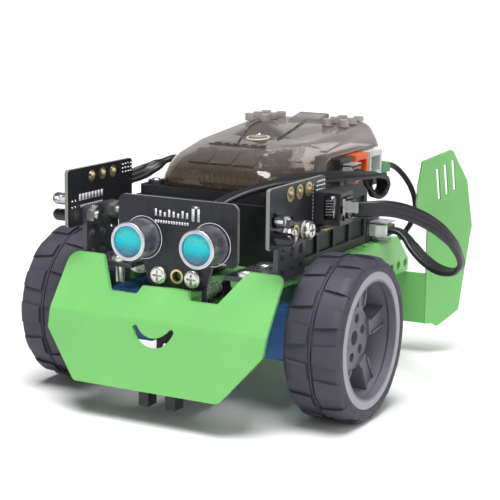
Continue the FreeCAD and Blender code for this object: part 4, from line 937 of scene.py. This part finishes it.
def make_side_sockets():
    """Spring wires in the open front of the side sockets, and the clear latches of their plugs."""
    pockets = bmesh.new()
    wires = bmesh.new()
    latches = bmesh.new()
    front = 0.1
    for side in (-1, 1):
        pocket = (front - 0.08, front + 0.02)
        side_block(pockets, side, SIDE_FACE + 4.6, SIDE_FACE + 10.2, pocket, (81.4, 91.2))
        near, far = side * (SIDE_FACE + 5.6), side * (SIDE_FACE + 9)
        for k in range(6):
            z = 83.4 + 1.15 * k
            add_rod(wires, (near, front - 0.25, z), (far, front - 0.3, z + 0.3), 0.22, 8)
        side_block(wires, side, SIDE_FACE + 9, SIDE_FACE + 9.5, (front - 0.4, front), (82.6, 90.8))
        side_block(latches, side, SIDE_FACE + 11.9, SIDE_FACE + 12.7, (2.4, 3.4), (83.4, 90))
        side_block(latches, side, SIDE_FACE + 12.7, SIDE_FACE + 18.6, (2.4, 3.0), (84.8, 89.2))
        for k in range(4):
            ridge = side * (SIDE_FACE + 13.8 + 1.3 * k)
            add_block(latches, (ridge - 0.25, 2.0, 84.8), (ridge + 0.25, 2.4, 89.2))
    finish_piece(pockets, "side_socket_pockets", "dark_lens", 0)
    finish_piece(wires, "side_socket_wires", "rim", 0.05)
    finish_piece(latches, "side_plug_latches", "plug_frost")


def make_lamp_insides():
    """Frames and bond posts inside the clear lamps."""
    mesh = bmesh.new()
    z = sum(corner.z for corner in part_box("clear_lamps")) / 2 / MM
    for side in (-1, 1):
        for y, reach, half in ((-34.3, 4.6, 0.55), (-32.7, 4.2, 0.4)):
            side_block(mesh, side, SIDE_FACE + 0.4, SIDE_FACE + reach,
                       (y - 0.25, y + 0.25), (z - half, z + half))
        near, far = side * (SIDE_FACE + 4.2), side * (SIDE_FACE + 5.2)
        add_rod(mesh, (near, -34.1, z), (far, -34.1, z), 0.5, 16, end_radius=0.95)
    finish_piece(mesh, "lamp_frames", "rim", 0.05)


def make_can_rims():
    """The bright turned edge round the front of each transducer."""
    mesh = bmesh.new()
    front = (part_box("transducer_cans")[0].y - AXLE_Y) / MM
    segments = 64
    angles = [math.tau * k / segments for k in range(segments)]
    profile = ((8.02, 1.1), (8.02, 0.35), (7.7, 0.02), (6.9, 0.02), (6.55, 0.3), (6.5, 1.4))
    for x in (-EYE_X, EYE_X):
        join_loops(mesh, [[mesh.verts.new(at(x + radius * math.cos(angle), front + depth,
                                             EYE_Z + radius * math.sin(angle)))
                           for angle in angles] for radius, depth in profile])
    bmesh.ops.recalc_face_normals(mesh, faces=mesh.faces)
    finish_piece(mesh, "transducer_rims", "rim", 0)


def make_plug_details():
    """Gold contacts, latch levers and cable clamps of the controller's plugs and the right base plug."""
    levers = bmesh.new()
    contacts = bmesh.new()
    bars = (((-1.6, 1.6), (-4.9, -4.1)), ((-5.1, -4.8), (-2.9, 2.6)), ((-4.9, 4.9), (3.2, 3.9)))
    plugs = ((1, BLACK_Y, PORT_Z, 4.9), (-1, BLACK_Y, PORT_Z, 4.9), (1, BASE_Y, BASE_Z, 8.7))
    for side, y, z, reach in plugs:
        for (y0, y1), (z0, z1) in bars:
            side_block(levers, side, PORT_X + 0.4, PORT_X + reach, (y + y0, y + y1), (z + z0, z + z1))
        for k in range(6):
            across = y - 3 + 1.2 * k
            side_block(contacts, side, PORT_X + 0.6, PORT_X + reach - 1.5,
                       (across - 0.2, across + 0.2), (z + 1.9, z + 2.4))
    finish_piece(levers, "plug_levers", "plug_frost")
    finish_piece(contacts, "plug_contacts", "gold", 0)


# ---- data cables ----

CABLE_WIDTH, CABLE_THICK = 6.6, 2.4
SIDE_X = SIDE_FACE + 11.6              # mouth of a side board's socket
SIDE_Y, SIDE_Z = 6.7, 85.7
PORT_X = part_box("battery_box")[1].x / MM
PORT_Z, BLACK_Y = 93.5, 52
BASE_Y, BASE_Z = 82.4, 63.9

# Each point of a flat cable's route comes with the direction that its width takes there.
RIGHT_ROUTE = [
    ((SIDE_X + 3.2, SIDE_Y, SIDE_Z), (0, 0, 1)), ((SIDE_X + 8, SIDE_Y, SIDE_Z), (0, 0, 1)),
    ((73.4, 10.6, 86.6), (0, 0, 1)), ((79, 17.4, 85), (0, 0, 1)), ((84, 26, 81.2), (0, 0.1, 1)),
    ((88.2, 35.2, 75.8), (-0.1, 0.3, 1)), ((91.2, 44.4, 68.8), (-0.2, 0.6, 0.7)),
    ((91.8, 53, 60.8), (-0.3, 0.9, 0.3)), ((88.8, 60.4, 54.2), (0, 1, 0.2)),
    ((82.4, 66.4, 50.8), (0.2, 1, 0.2)),
    ((74.8, 71, 50.4), (0.3, 1, 0.3)), ((67, 75.2, 52.8), (0.3, 1, 0.3)), ((60, 79.2, 56.8), (0.2, 1, 0.3)),
    ((54.6, 82, 61.4), (0, 1, 0.1)), ((50.6, BASE_Y, BASE_Z), (0, 1, 0)),
    ((PORT_X + 9, BASE_Y, BASE_Z), (0, 1, 0)),
]
ULTRASONIC_ROUTE = [
    ((PORT_X + 5.2, BLACK_Y, PORT_Z), (0, 1, 0)), ((PORT_X + 8.4, BLACK_Y, PORT_Z), (0, 1, 0)),
    ((48.8, 51.6, 89.6), (0.2, 1, 0)), ((49.8, 52.6, 85.2), (-0.7, 1, 0)), ((50.6, 56.2, 83), (-1, 0.5, 0)),
    ((51.4, 59.8, 84.6), (-1, 0.1, 0)), ((52, 61, 88.6), (-1, 0, 0)), ((52, 58.2, 91.8), (-1, 0, 0)),
    ((51.8, 51.6, 93.4), (-1, 0, 0.1)), ((51, 43, 94), (-1, 0, 0.2)), ((49.2, 33.6, 94.8), (-1, 0, 0.3)),
    ((46, 24, 95.6), (-1, 0.2, 0.4)), ((41.2, 15.2, 95.8), (-0.9, 0.4, 0.4)),
    ((35, 7, 95.2), (-0.8, 0.6, 0.3)),
    ((28.4, -0.8, 93.8), (-0.7, 0.7, 0.1)), ((21.8, -8.4, 91.4), (-0.8, 0.6, 0)),
    ((16.2, -15.6, 88.6), (-0.9, 0.3, 0)), ((13, -20.1, 85.6), (-1, 0, 0)), ((13, -20.1, 82.2), (-1, 0, 0)),
]
LEFT_ROUTE = [
    ((-SIDE_X - 3.2, SIDE_Y, SIDE_Z), (0, 0, 1)), ((-SIDE_X - 7.4, SIDE_Y, SIDE_Z), (0, 0, 1)),
    ((-71, 10.6, 85.4), (0, 0, 1)), ((-73, 17.6, 84.8), (0, 0, 1)), ((-71, 25.4, 84.2), (0, 0, 1)),
    ((-65.8, 32.4, 84.4), (0, 0.1, 1)), ((-60.4, 39, 86.2), (0, 0.4, 1)), ((-56, 45.4, 89.4), (0, 0.8, 0.6)),
    ((-51.8, 50.4, 92.6), (0, 1, 0.2)), ((-PORT_X - 8.8, BLACK_Y, PORT_Z), (0, 1, 0)),
    ((-PORT_X - 5.2, BLACK_Y, PORT_Z), (0, 1, 0)),
]
REAR_ROUTE = [
    (34.3, 102.4, 90.2), (34.3, 106.8, 90.2), (36, 112, 88.2), (38.8, 116.4, 83.4), (41.4, 119.8, 77),
    (42.6, 122, 69.6), (41, 122.6, 61.6), (37, 120.4, 54.4), (32.4, 115, 49.6), (28.4, 107.2, 47.6),
    (25, 98, 47.4), (21.6, 88, 48.6), (18, 77.4, 49.6), (14.6, 66.4, 49.4), (11.8, 55, 48.2), (9.8, 44, 46),
    (8.6, 33.6, 42), (7, 24.6, 36), (4.8, 16.6, 29), (2, 9.4, 22.8), (0, 2, 20.5), (0, -4, 20.5),
]


def spline_curve(name, points):
    """A smooth NURBS curve with the route's points as its control points."""
    curve = bpy.data.curves.new(name, "CURVE")
    curve.dimensions = "3D"
    curve.resolution_u = 10
    spline = curve.splines.new("NURBS")
    spline.points.add(len(points) - 1)
    for control, point in zip(spline.points, points):
        control.co = (*at(*point), 1)
    spline.order_u = 3
    spline.use_endpoint_u = True
    return curve


def line_of(curve):
    """The points of a curve's own smooth line, and their length."""
    holder = bpy.data.objects.new("line_holder", curve)
    bpy.context.scene.collection.objects.link(holder)
    bpy.context.view_layer.update()
    line = bpy.data.meshes.new_from_object(holder.evaluated_get(bpy.context.evaluated_depsgraph_get()))
    points = [vertex.co.copy() for vertex in line.vertices]
    bpy.data.objects.remove(holder)
    length = sum((b - a).length for a, b in zip(points, points[1:]))
    return points, length


def flat_section():
    """Half-round edges, flat faces and two shallow grooves on each, as (across, thickness) in millimetres."""
    half, thick, groove = CABLE_WIDTH / 2, CABLE_THICK / 2, 0.16
    edge_steps = 4
    top = []
    for k in range(edge_steps + 1):
        angle = math.pi / 2 * k / edge_steps
        top.append((half - thick * (1 - math.sin(angle)), thick * math.cos(angle)))
    top.reverse()
    for middle in (1.1, -1.1):
        top += [(middle + 0.35, thick), (middle, thick - groove), (middle - 0.35, thick)]
    top += [(-across, height) for across, height in reversed(top[1:edge_steps + 1])] + [(-half, 0)]
    return top + [(-across, -height) for across, height in top[1:-1]]


WIDTH_REACH = 2 * MM                   # keeps the pull of the nearest route point finite


def flat_cable(name, route):
    """A flat data cable: its section swept along the route's smooth line, turning as the route says."""
    line, length = line_of(spline_curve(name + "_line", [point for point, _ in route]))
    controls = [at(*point) for point, _ in route]
    section = flat_section()
    mesh = bmesh.new()
    rings = []
    for k, point in enumerate(line):
        along = (line[min(k + 1, len(line) - 1)] - line[max(k - 1, 0)]).normalized()
        pulls = [(1 / ((point - control).length + WIDTH_REACH) ** 3, Vector(wide))
                 for control, (_, wide) in zip(controls, route)]
        wide = sum((pull * direction for pull, direction in pulls), Vector())
        wide = (wide - along * wide.dot(along)).normalized()
        thin = along.cross(wide)
        rings.append([mesh.verts.new(point + (wide * a + thin * b) * MM) for a, b in section])
    join_loops(mesh, rings)
    mesh.faces.new(rings[0])
    mesh.faces.new(list(reversed(rings[-1])))
    bmesh.ops.recalc_face_normals(mesh, faces=mesh.faces)
    piece = link_piece(name, mesh_data(mesh, name), "cable", ROOT)
    return piece


def make_cables():
    for end, route in (("right", RIGHT_ROUTE), ("ultrasonic", ULTRASONIC_ROUTE), ("left", LEFT_ROUTE)):
        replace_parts(flat_cable("flat_cable_" + end, route), "cable_" + end)
    curve = spline_curve("rear_line", REAR_ROUTE)
    length = line_of(curve)[1]
    lead = round_lead("round_lead_rear", REAR_ROUTE, 4)
    rear = link_piece("round_lead_rear", lead, "cable", ROOT)
    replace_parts(rear, "cable_rear")


make_cables()
make_motor_leads()
make_front_print()
make_side_print()
make_solder()
make_side_headers()
make_side_sockets()
make_lamp_insides()
make_can_rims()
make_plug_details()


# ---- floor and light ----

def make_studio():
    """A pale floor that runs out of sight, soft light from above and in front, and a strip light."""
    mesh = bmesh.new()
    bmesh.ops.create_grid(mesh, x_segments=1, y_segments=1, size=12)
    data = bpy.data.meshes.new("floor")
    mesh.to_mesh(data)
    mesh.free()
    floor = bpy.data.objects.new("floor", data)
    bpy.context.scene.collection.objects.link(floor)
    material = new_material("floor_paper", (0.8, 0.8, 0.8), 0.95)
    vary_colour(material, 3, (0.795, 0.795, 0.795), (0.805, 0.805, 0.805))
    data.materials.append(material)

    world = bpy.data.worlds.new("studio")
    bpy.context.scene.world = world
    world.use_nodes = True
    sky = ramp(world, separated(world, "Generated")["Z"], [(0.36, (1, 1, 1)), (0.55, (0.13, 0.13, 0.14))])
    nodes, links = nodes_of(world)
    links.new(sky, nodes["Background"].inputs["Color"])
    nodes["Background"].inputs["Strength"].default_value = 0.52

    def lamp(name, kind, place, power, **settings):
        light = bpy.data.lights.new(name, kind)
        light.energy = power
        for key, value in settings.items():
            setattr(light, key, value)
        holder = bpy.data.objects.new(name, light)
        bpy.context.scene.collection.objects.link(holder)
        holder.location = place
        holder.rotation_euler = Vector(place).to_track_quat("Z", "Y").to_euler()

    lamp("sky_panel", "SUN", (0.10, -0.32, 1.3), 4.2, angle=math.radians(34))
    lamp("side_panel", "SUN", (1.0, -0.5, 0.9), 0.55, angle=math.radians(50))
    lamp("strip_light", "AREA", (0.75, -0.55, 0.75), 1.6, shape="RECTANGLE", size=0.12, size_y=0.7)
    view = bpy.context.scene.view_settings
    view.view_transform = "Standard"
    view.look = "None"


make_studio()
